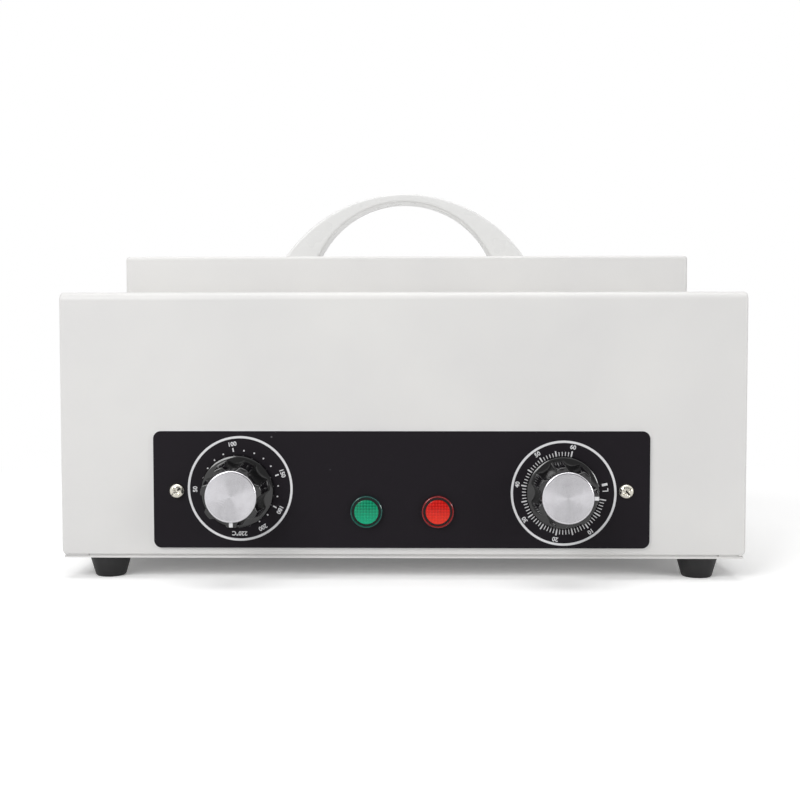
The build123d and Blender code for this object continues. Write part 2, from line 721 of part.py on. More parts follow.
# Mains inlet and wiring
def power_inlet():
    """The moulded inlet: a flange outside, a body through the back and a socket for the lead."""
    plane = Plane(origin=(inlet_x, rear_y, inlet_z), x_dir=(-1, 0, 0), z_dir=(0, 1, 0))
    flange = extrude(RectangleRounded(inlet_flange_width, inlet_flange_height, 6), inlet_flange)
    body = extrude(RectangleRounded(inlet_body_width, inlet_body_height, 1.8), -inlet_body_depth)
    mouth = Polyline((-inlet_cavity_width / 2, -inlet_cavity_height / 2),
                     (inlet_cavity_width / 2, -inlet_cavity_height / 2),
                     (inlet_cavity_width / 2, inlet_cavity_height / 2 - 4),
                     (inlet_cavity_width / 2 - 4, inlet_cavity_height / 2),
                     (-inlet_cavity_width / 2 + 4, inlet_cavity_height / 2),
                     (-inlet_cavity_width / 2, inlet_cavity_height / 2 - 4), close=True)
    cavity = Pos(0, 0, inlet_flange - inlet_cavity_depth) * extrude(make_face(mouth), inlet_cavity_depth + 1)
    shape = plane * (flange + body - cavity)
    for x, z in blade_places():
        shape -= box(x, rear_y - inlet_body_depth / 2, z - blade_width / 2 - hole_fit,
                     blade_thickness + 2 * hole_fit, inlet_body_depth + 2, blade_width + 2 * hole_fit)
    for side in (-1, 1):
        shape -= turned((inlet_x + side * inlet_screw_spread / 2, rear_y + inlet_flange, inlet_z), (0, -1, 0),
                        [(0, m3_flat[0] + 0.1), (m3_flat[1], m3_flat[2] + 0.1), (inlet_flange, m3_flat[2] + 0.1)])
    return shape


def blade_places():
    """The three contact blades: earth in the middle above, the other two below."""
    return [(inlet_x - blade_spread / 2, inlet_z - blade_offset / 2),
            (inlet_x + blade_spread / 2, inlet_z - blade_offset / 2),
            (inlet_x, inlet_z + blade_offset / 2)]


def inlet_blades():
    tip = rear_y + inlet_flange - inlet_cavity_depth + blade_reach
    tail = rear_y - inlet_body_depth - tab_length
    return [box(x, (tip + tail) / 2, z - blade_width / 2, blade_thickness, tip - tail, blade_width)
            for x, z in blade_places()]


def inlet_screws():
    return [flat_screw((inlet_x + side * inlet_screw_spread / 2, rear_y + inlet_flange, inlet_z), (0, -1, 0),
                       m3_flat, inlet_flange + 5 * sheet) for side in (-1, 1)]


def terminal_block():
    """A three-way block on the floor, with a screw well over each way."""
    block = box(inlet_x, block_y, base_top_z, block_width, block_length, block_height * 0.6)
    for step in (-1, 0, 1):
        x = inlet_x + step * block_width / 3
        block += box(x, block_y, base_top_z, block_width / 3 - 1.6, block_length * 0.55, block_height)
        block -= rod((x, block_y, base_top_z + block_height * 0.5), (0, 0, 1), 2.2, block_height)
    return block


def wire_ends():
    """Where the leads meet the inlet's tails and the block's back and front."""
    tail = rear_y - inlet_body_depth - tab_length - wire_gap
    return tail, block_y + block_length / 2 + wire_gap, block_y - block_length / 2 - wire_gap


def live_wires():
    """From the inlet to the block, and from the block to the timer."""
    x, z = blade_places()[0]
    tail, block_back, block_front = wire_ends()
    way_x = inlet_x - block_width / 3
    tab = (timer_x + timer_size / 4, inner_front_y + timer_depth + tab_length + wire_gap,
           timer_z - timer_size / 2 + 1)
    first = tube([(x, tail, z), (x, tail - 9, z), (way_x, block_back + 9, wire_z), (way_x, block_back, wire_z)],
                 wire_radius, wire_bend)
    second = tube([(way_x, block_front, wire_z), (way_x, block_front - 16, wire_z),
                   (tab[0], tab[1] + 12, tab[2]), tab], wire_radius, wire_bend)
    return [first, second]


def neutral_wires():
    """From the inlet to the block, and from the block up to the heater's rear end."""
    x, z = blade_places()[1]
    tail, block_back, block_front = wire_ends()
    way_x = inlet_x + block_width / 3
    heater_end = element_points()[-1]
    end_x = heater_end[0] + tab_length + wire_gap
    side_x = end_x + 2 * wire_bend_tight
    turn_y = block_front - 18
    first = tube([(x, tail, z), (x, tail - 9, z), (way_x, block_back + 9, wire_z), (way_x, block_back, wire_z)],
                 wire_radius, wire_bend)
    second = tube([(way_x, block_front, wire_z), (way_x, turn_y, wire_z), (side_x, turn_y, wire_z + 6),
                   (side_x, heater_end[1], element_z), (end_x, heater_end[1], element_z)],
                  wire_radius, wire_bend_tight)
    return [first, second]


def earth_wire():
    """From the inlet over the block to the stud on the floor."""
    x, z = blade_places()[2]
    tail, block_back, block_front = wire_ends()
    end_y = block_front - earth_setback + stud_radius + wire_radius + wire_gap
    return tube([(x, tail, z), (x, tail - 14, z), (x, block_front - 3, base_top_z + 1.4 * block_height),
                 (x, end_y, base_top_z + 11)], wire_radius, wire_bend)


def earth_stud():
    """A stud welded to the floor, with its nut."""
    y = wire_ends()[2] - earth_setback
    stud = rod((inlet_x, y, base_top_z), (0, 0, 1), stud_radius, 14)
    return [stud, hexagon(inlet_x, y, base_top_z + 3, nut_across, nut_height, stud_radius + hole_fit)]


def cutout_z():
    return (pan_bottom_z + housing_top_z) / 2


def thermal_cutout():
    """The safety cut-out: a disc switch on the pan's right wall, with two tabs."""
    start = (pan_length / 2, tank_y, cutout_z())
    case = turned(start, (1, 0, 0), [(0, cutout_radius + 3), (0.8, cutout_radius + 3), (0.8, cutout_radius),
                                     (cutout_height, cutout_radius)])
    for side in (-1, 1):
        case += box(start[0] + cutout_height + tab_length / 2, tank_y + side * cutout_radius / 2,
                    start[2] - tab_width / 2, tab_length, tab_thickness, tab_width)
    return case


def sleeved_wires():
    """From the timer to the thermostat, on to the cut-out, and from there to the heater's front end."""
    timer_tab = (timer_x - timer_size / 4, inner_front_y + timer_depth + tab_length + wire_gap,
                 timer_z - timer_size / 2 + 1)
    near_tab = (thermostat_x + thermostat_size / 4, inner_front_y + thermostat_depth + tab_length + wire_gap,
                thermostat_z - thermostat_size / 2 + 1)
    far_tab = (thermostat_x - thermostat_size / 4, near_tab[1], near_tab[2])
    run_y = timer_tab[1] + 14
    link = tube([timer_tab, (timer_tab[0], run_y, timer_tab[2]), (near_tab[0], run_y, near_tab[2]), near_tab],
                wire_radius, wire_bend)
    tab_x = pan_length / 2 + cutout_height + tab_length + wire_gap
    side_x = tab_x + 2 * wire_bend_tight
    rear_tab_y = tank_y + cutout_radius / 2
    front_tab_y = tank_y - cutout_radius / 2
    low_z = base_top_z + 8
    low_y = run_y + 3
    feed = tube([far_tab, (far_tab[0], low_y, low_z), (side_x, low_y, low_z), (side_x, rear_tab_y, element_z - 6),
                 (side_x, rear_tab_y, cutout_z()), (tab_x, rear_tab_y, cutout_z())], wire_radius, wire_bend_tight)
    heater_end = element_points()[0]
    end_x = heater_end[0] + tab_length + wire_gap
    link_up = tube([(tab_x, front_tab_y, cutout_z()), (side_x, front_tab_y, cutout_z()),
                    (side_x, heater_end[1], element_z), (end_x, heater_end[1], element_z)],
                   wire_radius, wire_bend_tight)
    return [link, feed, link_up]


# Temperature bulb and its capillary
def sensor_bulb():
    """The copper bulb between the heater's runs, and the thin tube from it to the thermostat."""
    side_x = -(pan_length / 2 + 11)
    low_z = thermostat_z - thermostat_size / 4
    back_y = inner_front_y + thermostat_depth
    end_x = thermostat_x - thermostat_size / 4
    points = [(-bulb_length / 2, tank_y, element_z), (side_x, tank_y, element_z), (side_x, tank_y, low_z),
              (side_x, back_y + 20, low_z), (end_x, back_y + 20, low_z), (end_x, back_y, low_z)]
    bulb = rod((-bulb_length / 2 - 1, tank_y, element_z), (1, 0, 0), bulb_radius, bulb_length)
    return bulb + tube(points, capillary_radius, capillary_bend)


# Hinges
def base_leaf(x):
    """The leaf screwed to the cabinet's top, with the two outer knuckles."""
    leaf = box(x, hinge_axis_y + leaf_length / 2, housing_top_z, hinge_width, leaf_length, leaf_thickness)
    leaf -= box(x, hinge_axis_y, housing_top_z - 1, hinge_middle + 2 * knuckle_gap, 2 * leaf_notch,
                leaf_thickness + 2)
    start = hinge_middle / 2 + knuckle_gap
    for side in (-1, 1):
        leaf += rod((x + side * start, hinge_axis_y, hinge_axis_z), (side, 0, 0), knuckle_radius,
                    hinge_width / 2 - start)
    leaf -= rod((x - hinge_width, hinge_axis_y, hinge_axis_z), (1, 0, 0), hinge_pin_radius + pin_fit,
                2 * hinge_width)
    return leaf - [turned(place, (0, 0, -1), [(0, m3_flat[0] + hole_fit), (m3_flat[1], m3_flat[2] + hole_fit),
                                              (2 * leaf_thickness, m3_flat[2] + hole_fit)])
                   for place in base_leaf_screws(x)]


def base_leaf_screws(x):
    return [(x + side * leaf_screw_spacing / 2, hinge_axis_y + leaf_screw_reach, housing_top_z + leaf_thickness)
            for side in (-1, 1)]


def lid_leaf(x):
    """The leaf screwed to the lid's back wall, with the middle knuckle."""
    leaf = box(x, lid_rear_y + leaf_thickness / 2, hinge_axis_z, hinge_width, leaf_thickness, leaf_length)
    start = hinge_middle / 2
    outer = hinge_width / 2 - start
    for side in (-1, 1):
        leaf -= box(x + side * (start + outer / 2), lid_rear_y, hinge_axis_z - 1, outer, 4 * leaf_thickness,
                    leaf_notch + 1)
    leaf += rod((x - start, hinge_axis_y, hinge_axis_z), (1, 0, 0), knuckle_radius, hinge_middle)
    leaf -= rod((x - hinge_width, hinge_axis_y, hinge_axis_z), (1, 0, 0), hinge_pin_radius + pin_fit,
                2 * hinge_width)
    return leaf - [turned(place, (0, -1, 0), [(0, m3_flat[0] + hole_fit), (m3_flat[1], m3_flat[2] + hole_fit),
                                              (2 * leaf_thickness, m3_flat[2] + hole_fit)])
                   for place in lid_leaf_screws(x)]


def lid_leaf_screws(x):
    return [(x + side * leaf_screw_spacing / 2, lid_rear_y + leaf_thickness, hinge_axis_z + leaf_screw_reach)
            for side in (-1, 1)]


def hinge_pins():
    return [turned((x - hinge_width / 2 - 0.7, hinge_axis_y, hinge_axis_z), (1, 0, 0),
                   [(0, 1.5), (0.3, 1.9), (0.6, 1.9), (0.6, hinge_pin_radius), (hinge_width + 1.4, hinge_pin_radius)])
            for x in hinge_places]


def hinge_base_screws():
    return [flat_screw(place, (0, 0, -1), m3_flat, leaf_thickness + 4 * sheet)
            for x in hinge_places for place in base_leaf_screws(x)]


def hinge_lid_screws():
    return [flat_screw(place, (0, -1, 0), m3_flat, leaf_thickness + 3 * sheet)
            for x in hinge_places for place in lid_leaf_screws(x)]


# Lid
def lid_shell():
    """A shallow folded box, open below, with rounded top edges."""
    outer = slab(lid_shift, lid_y, lid_bottom_z, lid_length, lid_width, lid_height, lid_corner)
    outer = fillet(outer.edges().group_by(Axis.Z)[-1], lid_edge)
    inner = slab(lid_shift, lid_y, lid_bottom_z - 1, lid_length - 2 * sheet, lid_width - 2 * sheet,
                 lid_height + 1 - sheet, lid_corner - sheet)
    inner = fillet(inner.edges().group_by(Axis.Z)[-1], lid_edge - sheet)
    shell = outer - inner
    for x in handle_screw_places:
        shell -= rod((x, lid_y, lid_top_z - 2 * sheet), (0, 0, 1), m4_pan[2] + 0.2, 3 * sheet)
    for x in hinge_places:
        for place in lid_leaf_screws(x):
            shell -= rod(place, (0, -1, 0), m3_flat[2] + hole_fit, leaf_thickness + 3 * sheet)
    return shell


def lid_liner():
    """The stainless tray that closes the lid below, with a dish pressed down over the tank's mouth."""
    length = lid_length - 2 * (sheet + touch_gap)
    width = lid_width - 2 * (sheet + touch_gap)
    corner = lid_corner - sheet - touch_gap
    liner = slab(lid_shift, lid_y, liner_z, length, width, liner_sheet + liner_lip, corner)
    liner -= slab(lid_shift, lid_y, liner_z + liner_sheet, length - 2 * liner_sheet, width - 2 * liner_sheet,
                  liner_lip + 1, corner - 0.6 * liner_sheet)
    dish_length = tank_length - 2 * dish_margin
    dish_width = tank_width - 2 * dish_margin
    outer = frustum(liner_z, dish_length, dish_width, dish_corner)
    inner = frustum(liner_z + liner_sheet, dish_length - liner_sheet, dish_width - liner_sheet,
                    dish_corner - liner_sheet / 2)
    return liner + outer - inner


def frustum(top, length, width, corner):
    """A rounded block that narrows downwards by the dish's slope."""
    high = Pos(lid_shift, lid_y, top) * RectangleRounded(length, width, corner)
    low = Pos(lid_shift, lid_y, top - liner_dish) * RectangleRounded(
        length - 2 * dish_slope, width - 2 * dish_slope, corner - dish_slope)
    return loft([low, high])


def lid_wool():
    bottom = liner_z + liner_sheet + soft_gap
    top = lid_top_z - sheet - soft_gap
    block = slab(lid_shift, lid_y, bottom, lid_length - 2 * (sheet + lid_wool_margin),
                 lid_width - 2 * (sheet + lid_wool_margin), top - bottom, 3)
    for x in handle_screw_places:
        block -= rod((x, lid_y, bottom - 1), (0, 0, 1), m4_pan[0] + 2, lid_height)
    return block


def lid_gasket():
    """A silicone ring under the liner, over the tank's flange."""
    length = tank_length + 2 * gasket_margin
    width = tank_width + 2 * gasket_margin
    corner = tank_corner + gasket_margin
    ring = slab(lid_shift, lid_y, gasket_bottom_z, length + 2 * gasket_width, width + 2 * gasket_width,
                gasket_height, corner + gasket_width)
    return ring - slab(lid_shift, lid_y, gasket_bottom_z - 1, length, width, gasket_height + 2, corner)


def handle_section(grow):
    """The handle seen from the front: a crescent between two arcs, standing on the lid."""
    crown_z = lid_top_z + handle_rise
    outer = Pos(handle_x, crown_z - handle_outer_radius) * Circle(handle_outer_radius - grow)
    inner = Pos(handle_x, crown_z - crown_thickness - handle_inner_radius) * Circle(handle_inner_radius + grow)
    below = Pos(handle_x, lid_top_z - handle_outer_radius) * Rectangle(4 * handle_outer_radius,
                                                                       2 * handle_outer_radius)
    return Plane.XZ * (outer - inner - below)


def lid_handle():
    """One moulding: a crescent arch, cored from below in both feet, with a screw boss in each core."""
    arch = extrude(handle_section(0), handle_width / 2, both=True)
    arch = fillet(arch.edges().filter_by(GeomType.CIRCLE), handle_edge)
    core = extrude(handle_section(handle_wall), handle_width / 2 - handle_wall, both=True)
    core &= Pos(handle_x, 0, lid_top_z) * Box(3 * handle_outer_radius, handle_width, handle_core_height, align=LOW)
    for x in handle_screw_places:
        core -= rod((x, 0, lid_top_z), (0, 0, 1), handle_boss_radius, handle_core_height)
        arch -= rod((x, 0, lid_top_z), (0, 0, 1), m4_pan[2] + hole_fit, handle_screw_depth + 1)
    return Pos(0, lid_y, 0) * (arch - core)


def handle_screws():
    return [pan_screw((x, lid_y, lid_top_z - sheet), (0, 0, 1), m4_pan, sheet + handle_screw_depth)
            for x in handle_screw_places]


# Output
def keep(name, shape):
    """Write one sub-part, as one solid or as a group of separate solids."""
    shapes = shape if isinstance(shape, list) else [shape]
    solids = [solid for each in shapes for solid in each.solids()]
    piece = solids[0] if len(solids) == 1 else Compound(children=solids)
    export_step(piece, f"parts/{name}.step")


keep("outer_housing", outer_housing())
keep("base_plate", base_plate())
for name, place in zip(("front_left_foot", "rear_left_foot", "front_right_foot", "rear_right_foot"), foot_places):
    keep(name, foot(*place))
keep("foot_screws", foot_screws())
keep("base_screws", base_screws())
keep("inner_tank", inner_tank())
keep("tank_rivets", tank_rivets())
keep("instrument_tray", instrument_tray())
keep("heating_element", heating_element())
keep("heater_clamp", heater_clamp())
keep("heater_nuts", heater_nuts())
keep("tank_wool", tank_wool())
keep("wool_pan", wool_pan())
keep("control_panel", control_panel())
keep("panel_screws", panel_screws())
keep("temperature_scale", temperature_scale())
keep("timer_scale", timer_scale())
keep("green_lamp_lens", lamp_lens(lamp_places[0]))
keep("red_lamp_lens", lamp_lens(lamp_places[1]))
keep("lamp_holders", [lamp_holder(x) for x in lamp_places])
keep("thermostat", control_body(thermostat_x, thermostat_z, thermostat_size, thermostat_depth))
keep("timer", control_body(timer_x, timer_z, timer_size, timer_depth))
keep("timer_bell", timer_bell())
keep("control_screws", control_screws())
keep("sensor_bulb", sensor_bulb())
keep("power_inlet", power_inlet())
keep("inlet_blades", inlet_blades())
keep("inlet_screws", inlet_screws())
keep("terminal_block", terminal_block())
keep("earth_stud", earth_stud())
keep("thermal_cutout", thermal_cutout())
keep("live_wires", live_wires())
keep("neutral_wires", neutral_wires())
keep("earth_wire", earth_wire())
keep("sleeved_wires", sleeved_wires())
for name, x in zip(("left_hinge", "right_hinge"), hinge_places):
    keep(f"{name}_base_leaf", base_leaf(x))
    keep(f"{name}_lid_leaf", lid_leaf(x))
keep("hinge_pins", hinge_pins())
keep("hinge_base_screws", hinge_base_screws())
keep("hinge_lid_screws", hinge_lid_screws())
keep("lid_shell", lid_shell())
keep("lid_liner", lid_liner())
keep("lid_wool", lid_wool())
keep("lid_gasket", lid_gasket())
keep("lid_handle", lid_handle())
keep("handle_screws", handle_screws())
for control, knob, x, z, turn in (("thermostat", "temperature", thermostat_x, thermostat_z, thermostat_turn),
                                  ("timer", "timer", timer_x, timer_z, timer_turn)):
    moulding, pointer, cap = knob_pieces(x, z, turn)
    keep(f"{knob}_knob", moulding)
    keep(f"{knob}_pointer", pointer)
    keep(f"{knob}_knob_cap", cap)
    keep(f"{control}_shaft", knob_shaft(x, z))
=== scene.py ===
# %% [markdown]
# # A bench-top dry heat sterilizer
# A white steel cabinet with a steel tank inside, a hinged lid with an arched handle, and a black
# control panel with two knobs and two lamps. The pieces come from the construction at their real
# size, and this lesson gives each of them its finish, adds the small things that a drawing leaves
# out, and sets up the camera and the lights of a catalogue picture.

# %% Load the frame
import math
import bmesh
import bpy
from mathutils import Matrix, Vector


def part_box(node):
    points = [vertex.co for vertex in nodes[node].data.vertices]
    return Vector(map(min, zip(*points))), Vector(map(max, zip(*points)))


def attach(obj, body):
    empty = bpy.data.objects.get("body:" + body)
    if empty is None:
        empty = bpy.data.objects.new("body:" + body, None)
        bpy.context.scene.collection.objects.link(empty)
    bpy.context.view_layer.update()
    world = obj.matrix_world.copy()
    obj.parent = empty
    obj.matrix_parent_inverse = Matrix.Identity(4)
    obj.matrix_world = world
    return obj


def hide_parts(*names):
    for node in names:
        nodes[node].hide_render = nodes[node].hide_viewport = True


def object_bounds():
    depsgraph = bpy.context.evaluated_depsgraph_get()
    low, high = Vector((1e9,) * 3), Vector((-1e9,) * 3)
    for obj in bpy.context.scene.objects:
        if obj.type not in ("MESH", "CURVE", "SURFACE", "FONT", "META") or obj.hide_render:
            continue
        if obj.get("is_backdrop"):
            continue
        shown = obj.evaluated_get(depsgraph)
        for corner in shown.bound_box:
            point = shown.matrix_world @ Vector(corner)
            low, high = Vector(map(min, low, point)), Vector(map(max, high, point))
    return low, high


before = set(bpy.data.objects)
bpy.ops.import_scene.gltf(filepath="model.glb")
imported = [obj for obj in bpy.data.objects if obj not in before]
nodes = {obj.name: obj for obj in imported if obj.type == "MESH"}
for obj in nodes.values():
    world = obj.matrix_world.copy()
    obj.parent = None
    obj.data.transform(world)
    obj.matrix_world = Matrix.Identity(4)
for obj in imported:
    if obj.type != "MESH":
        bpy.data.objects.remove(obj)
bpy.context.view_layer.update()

# %% [markdown]
# ## The camera
# The picture was taken from close by, a little to the right of the middle and just above the
# cabinet's shoulder, looking slightly down. From so near, the lid's front seems narrower than the
# cabinet and the knobs lean away from the middle. The place and the angles come from fitting the
# cabinet's corners, so they are plain numbers here.

# %% Camera
camera_place = Vector((0.00985, -0.7174, 0.1248))
camera_pitch = math.radians(2.765)
camera_yaw = math.radians(1.0)
camera_roll = math.radians(-0.05)
camera_lens = 54.0
camera_sensor = 36.0

camera_data = bpy.data.cameras.new("camera")
camera_data.lens = camera_lens
camera_data.sensor_width = camera_sensor
camera = bpy.data.objects.new("camera", camera_data)
bpy.context.scene.collection.objects.link(camera)
camera.matrix_world = (Matrix.Translation(camera_place)
                       @ Matrix.Rotation(camera_yaw, 4, "Z")
                       @ Matrix.Rotation(math.radians(90) - camera_pitch, 4, "X")
                       @ Matrix.Rotation(camera_roll, 4, "Z"))
bpy.context.scene.camera = camera
print("camera at", [round(v, 3) for v in camera.location])

# %% [markdown]
# ## Writing a material as an expression
# A material's node tree is easier to read as sums and products than as boxes and wires. The class
# Field wraps one output of a node. Adding, subtracting or multiplying Fields makes the Math nodes
# behind them. Finish is the material itself: its method node makes any other node.

# %% Fields and finishes
class Field:
    """One number or colour that changes over a surface."""

    def __init__(self, finish, socket):
        self.finish = finish
        self.socket = socket

    def _with(self, operation, first, second):
        return self.finish.node("ShaderNodeMath", {"operation": operation}, {0: first, 1: second})

    def __add__(self, other):
        return self._with("ADD", self, other)

    __radd__ = __add__

    def __sub__(self, other):
        return self._with("SUBTRACT", self, other)

    def __rsub__(self, other):
        return self._with("SUBTRACT", other, self)

    def __mul__(self, other):
        return self._with("MULTIPLY", self, other)

    __rmul__ = __mul__

    def above(self, level):
        return self._with("GREATER_THAN", self, level)

    def sine(self):
        return self.finish.node("ShaderNodeMath", {"operation": "SINE"}, {0: self})


class Finish:
    """A material whose tree is built node by node round its Principled shader."""

    def __init__(self, name, **fixed):
        self.material = bpy.data.materials.new(name)
        self.material.use_nodes = True
        self.tree = self.material.node_tree
        self.shader = self.tree.nodes["Principled BSDF"]
        self.put(**fixed)

    def plug(self, socket, value):
        if isinstance(value, Field):
            self.tree.links.new(value.socket, socket)
        else:
            socket.default_value = value

    def node(self, kind, settings=None, inputs=None, output=0):
        fresh = self.tree.nodes.new(kind)
        for key, value in (settings or {}).items():
            if key == "stops":
                while len(fresh.color_ramp.elements) < len(value):
                    fresh.color_ramp.elements.new(1.0)
                for element, (position, level) in zip(fresh.color_ramp.elements, value):
                    element.position = position
                    element.color = (level, level, level, 1)
            else:
                setattr(fresh, key, value)
        for key, value in (inputs or {}).items():
            self.plug(fresh.inputs[key], value)
        return Field(self, fresh.outputs[output])

    def put(self, **values):
        for key, value in values.items():
            self.plug(self.shader.inputs[key.replace("_", " ").title().replace("Ior", "IOR")], value)

    def place(self, centre=(0, 0, 0), stretch=(1, 1, 1)):
        """Object coordinates, centred and stretched."""
        here = self.node("ShaderNodeTexCoord", output="Object")
        moved = self.node("ShaderNodeVectorMath", {"operation": "SUBTRACT"}, {0: here, 1: centre})
        return self.node("ShaderNodeMapping", {}, {"Vector": moved, "Scale": stretch})

    def along(self, where, axis):
        """How far a place lies along one axis."""
        return self.node("ShaderNodeSeparateXYZ", {}, {0: where}, axis)

    def noise(self, where, scale, detail=2.0, roughness=0.5):
        return self.node("ShaderNodeTexNoise", {}, {"Vector": where, "Scale": scale, "Detail": detail,
                                                    "Roughness": roughness})

    def cells(self, where, scale):
        return self.node("ShaderNodeTexVoronoi", {}, {"Vector": where, "Scale": scale}, "Distance")

    def ramp(self, field, stops):
        return self.node("ShaderNodeValToRGB", {"stops": stops}, {"Fac": field}, "Color")

    def blend(self, factor, first, second):
        return self.node("ShaderNodeMix", {"data_type": "RGBA"}, {"Factor": factor, 6: first, 7: second}, 2)

    def raise_by(self, height, distance):
        self.put(normal=self.node("ShaderNodeBump", {}, {"Height": height, "Distance": distance}))


def shade(red, green, blue):
    """The linear colour of a tone written as it looks on a screen, from 0 to 255."""
    tone = [v / 255 for v in (red, green, blue)]
    return tuple(v / 12.92 if v <= 0.04045 else ((v + 0.055) / 1.055) ** 2.4 for v in tone) + (1.0,)


def toned(tone, part):
    """The linear colour of a tone made darker or paler, to this part of itself."""
    return shade(*(part * v for v in tone))


print("a mid grey is", [round(v, 3) for v in shade(128, 128, 128)])

# %% [markdown]
# ## White powder coat
# The cabinet and the lid are sheet steel with a baked powder coat. Seen close, such a coat has a
# soft ripple a few millimetres wide and a much finer grain, and its gloss is a satin one. Here and
# there a speck of dust was baked in. Two noises make the ripple and the grain, and a Voronoi
# texture with a high threshold leaves a few dark specks.

# %% Powder coat
coat_tone = (230, 229, 227)
coat_shadow_tone = (224, 223, 222)
coat_ripple_scale = 380
coat_grain_scale = 2600
coat_cloud_scale = 14
coat_height = 0.00006
speck_tone = (150, 146, 140)
speck_scale = 34
speck_choice_scale = 30


def powder_coat(name):
    coat = Finish(name, specular_ior_level=0.5)
    here = coat.place()
    ripple = coat.noise(here, coat_ripple_scale, 2)
    grain = coat.noise(here, coat_grain_scale, 2)
    cloud = coat.ramp(coat.noise(here, coat_cloud_scale, 3), [(0.3, 0), (0.7, 1)])
    speck = coat.ramp(coat.cells(here, speck_scale), [(0.0, 1), (0.021, 1), (0.03, 0)])
    rare = coat.ramp(coat.noise(here, speck_choice_scale, 1), [(0.0, 0), (0.66, 0), (0.68, 1)])
    clean = coat.blend(cloud, shade(*coat_shadow_tone), shade(*coat_tone))
    coat.put(base_color=coat.blend(speck * rare, clean, shade(*speck_tone)),
             roughness=0.34 + 0.1 * ripple)
    coat.raise_by(0.7 * ripple + 0.3 * grain, coat_height)
    return coat.material


white_coat = powder_coat("white powder coat")
print("coat", white_coat.name)

# %% [markdown]
# ## Bare metals
# Brushed stainless is a metal whose fine scratches all run one way: a noise stretched fifty times
# along X. Zinc plate shows faint crystals, made by a Voronoi texture. Screws are bright nickel, the
# inlet's blades are brass and the sensor is copper: one recipe with three tones. The aluminium of
# the knob caps comes later, with the caps.

# %% Stainless, zinc and bright metals
scratch_scale = 2600
scratch_stretch = (0.02, 1, 1)
steel_cloud_scale = 22
crystal_scale = 160
zinc_grain_scale = 900
rough_metal_height = 0.00002
bright_grain_scale = 3000
bright_blot_scale = 260
bright_metal_height = 0.00001


def brushed_steel(name, tone):
    steel = Finish(name, metallic=1.0)
    lines = steel.noise(steel.place(stretch=scratch_stretch), scratch_scale, 4)
    wide = steel.noise(steel.place(), steel_cloud_scale, 2)
    steel.put(base_color=steel.blend(lines, toned(tone, 0.86), shade(*tone)),
              roughness=0.2 + 0.16 * lines + 0.06 * wide)
    steel.raise_by(lines, rough_metal_height)
    return steel.material


def zinc_plate(name, tone):
    plate = Finish(name, metallic=1.0)
    crystal = plate.cells(plate.place(), crystal_scale)
    grain = plate.noise(plate.place(), zinc_grain_scale, 3)
    plate.put(base_color=plate.blend(crystal, toned(tone, 0.88), shade(*tone)),
              roughness=0.34 + 0.14 * grain)
    plate.raise_by(grain, rough_metal_height)
    return plate.material


def bright_metal(name, tone, roughness):
    metal = Finish(name, metallic=1.0)
    fine = metal.noise(metal.place(), bright_grain_scale, 3)
    blot = metal.noise(metal.place(), bright_blot_scale, 2)
    metal.put(base_color=metal.blend(blot, toned(tone, 0.93), shade(*tone)),
              roughness=roughness * (0.8 + 0.4 * fine))
    metal.raise_by(fine, bright_metal_height)
    return metal.material


stainless = brushed_steel("brushed stainless", (205, 204, 200))
zinc = zinc_plate("zinc plate", (206, 208, 210))
nickel = bright_metal("bright nickel", (232, 228, 216), 0.16)
brass = bright_metal("plain brass", (214, 182, 108), 0.28)
copper = bright_metal("bare copper", (205, 130, 96), 0.3)
print("metals", [m.name for m in (stainless, zinc, nickel, brass, copper)])

# %% [markdown]
# ## Mouldings, rubber and print
# The handle is a white moulding with more gloss than the coat. The knobs are black and nearly mirror-like,
# with a little dust that dulls them in spots. The feet are satin rubber. Print sits on the panel as thick
# ink with slightly uneven cover. All of them come from one recipe, whose values say how rough, how dusty
# and how grainy the surface is.

# %% Plastics and print
flow_scale = 60
plastic_grain_scale = 2400
dust_scale = 900
dust_stops = [(0.0, 0), (0.62, 0), (0.75, 1)]


def moulding(name, tone, roughness, grain_depth=0.00001, dust=0.0, gloss=0.5):
    plastic = Finish(name, specular_ior_level=gloss)
    flow = plastic.noise(plastic.place(), flow_scale, 2)
    grain = plastic.noise(plastic.place(), plastic_grain_scale, 2)
    spots = plastic.ramp(plastic.noise(plastic.place(), dust_scale, 4), dust_stops)
    dull = (v + dust for v in tone)
    plastic.put(base_color=plastic.blend(spots * 0.5 + flow * 0.5, shade(*tone), shade(*dull)),
                roughness=roughness + 0.08 * flow + 0.12 * spots)
    plastic.raise_by(grain, grain_depth)
    return plastic.material


handle_white = moulding("white moulding", (233, 233, 232), 0.24, dust=3.0)
gloss_black = moulding("gloss black moulding", (9, 8, 10), 0.07, dust=4.0, gloss=0.85)
case_black = moulding("control case", (38, 37, 38), 0.5, grain_depth=0.00004, dust=8.0)
rubber_black = moulding("black rubber", (22, 21, 22), 0.48, grain_depth=0.00005, dust=12.0)
ceramic = moulding("unglazed ceramic", (222, 216, 203), 0.7, grain_depth=0.00005, dust=6.0)
silicone = moulding("red silicone", (176, 62, 46), 0.45, grain_depth=0.00004, dust=8.0)
print_white = moulding("white print", (226, 226, 228), 0.55, grain_depth=0.00003, dust=6.0)
live_brown = moulding("brown insulation", (108, 66, 40), 0.42, grain_depth=0.00002, dust=6.0)
neutral_blue = moulding("blue insulation", (42, 90, 170), 0.42, grain_depth=0.00002, dust=6.0)
print("plastics", [m.name for m in (handle_white, gloss_black, case_black, rubber_black, ceramic)])

# %% [markdown]
# The panel is aluminium sheet with a satin black print. It isn't quite black: it has a fine grain
# and a scatter of dust. Its cut edge is bare metal, so the mask is the depth behind the front face.

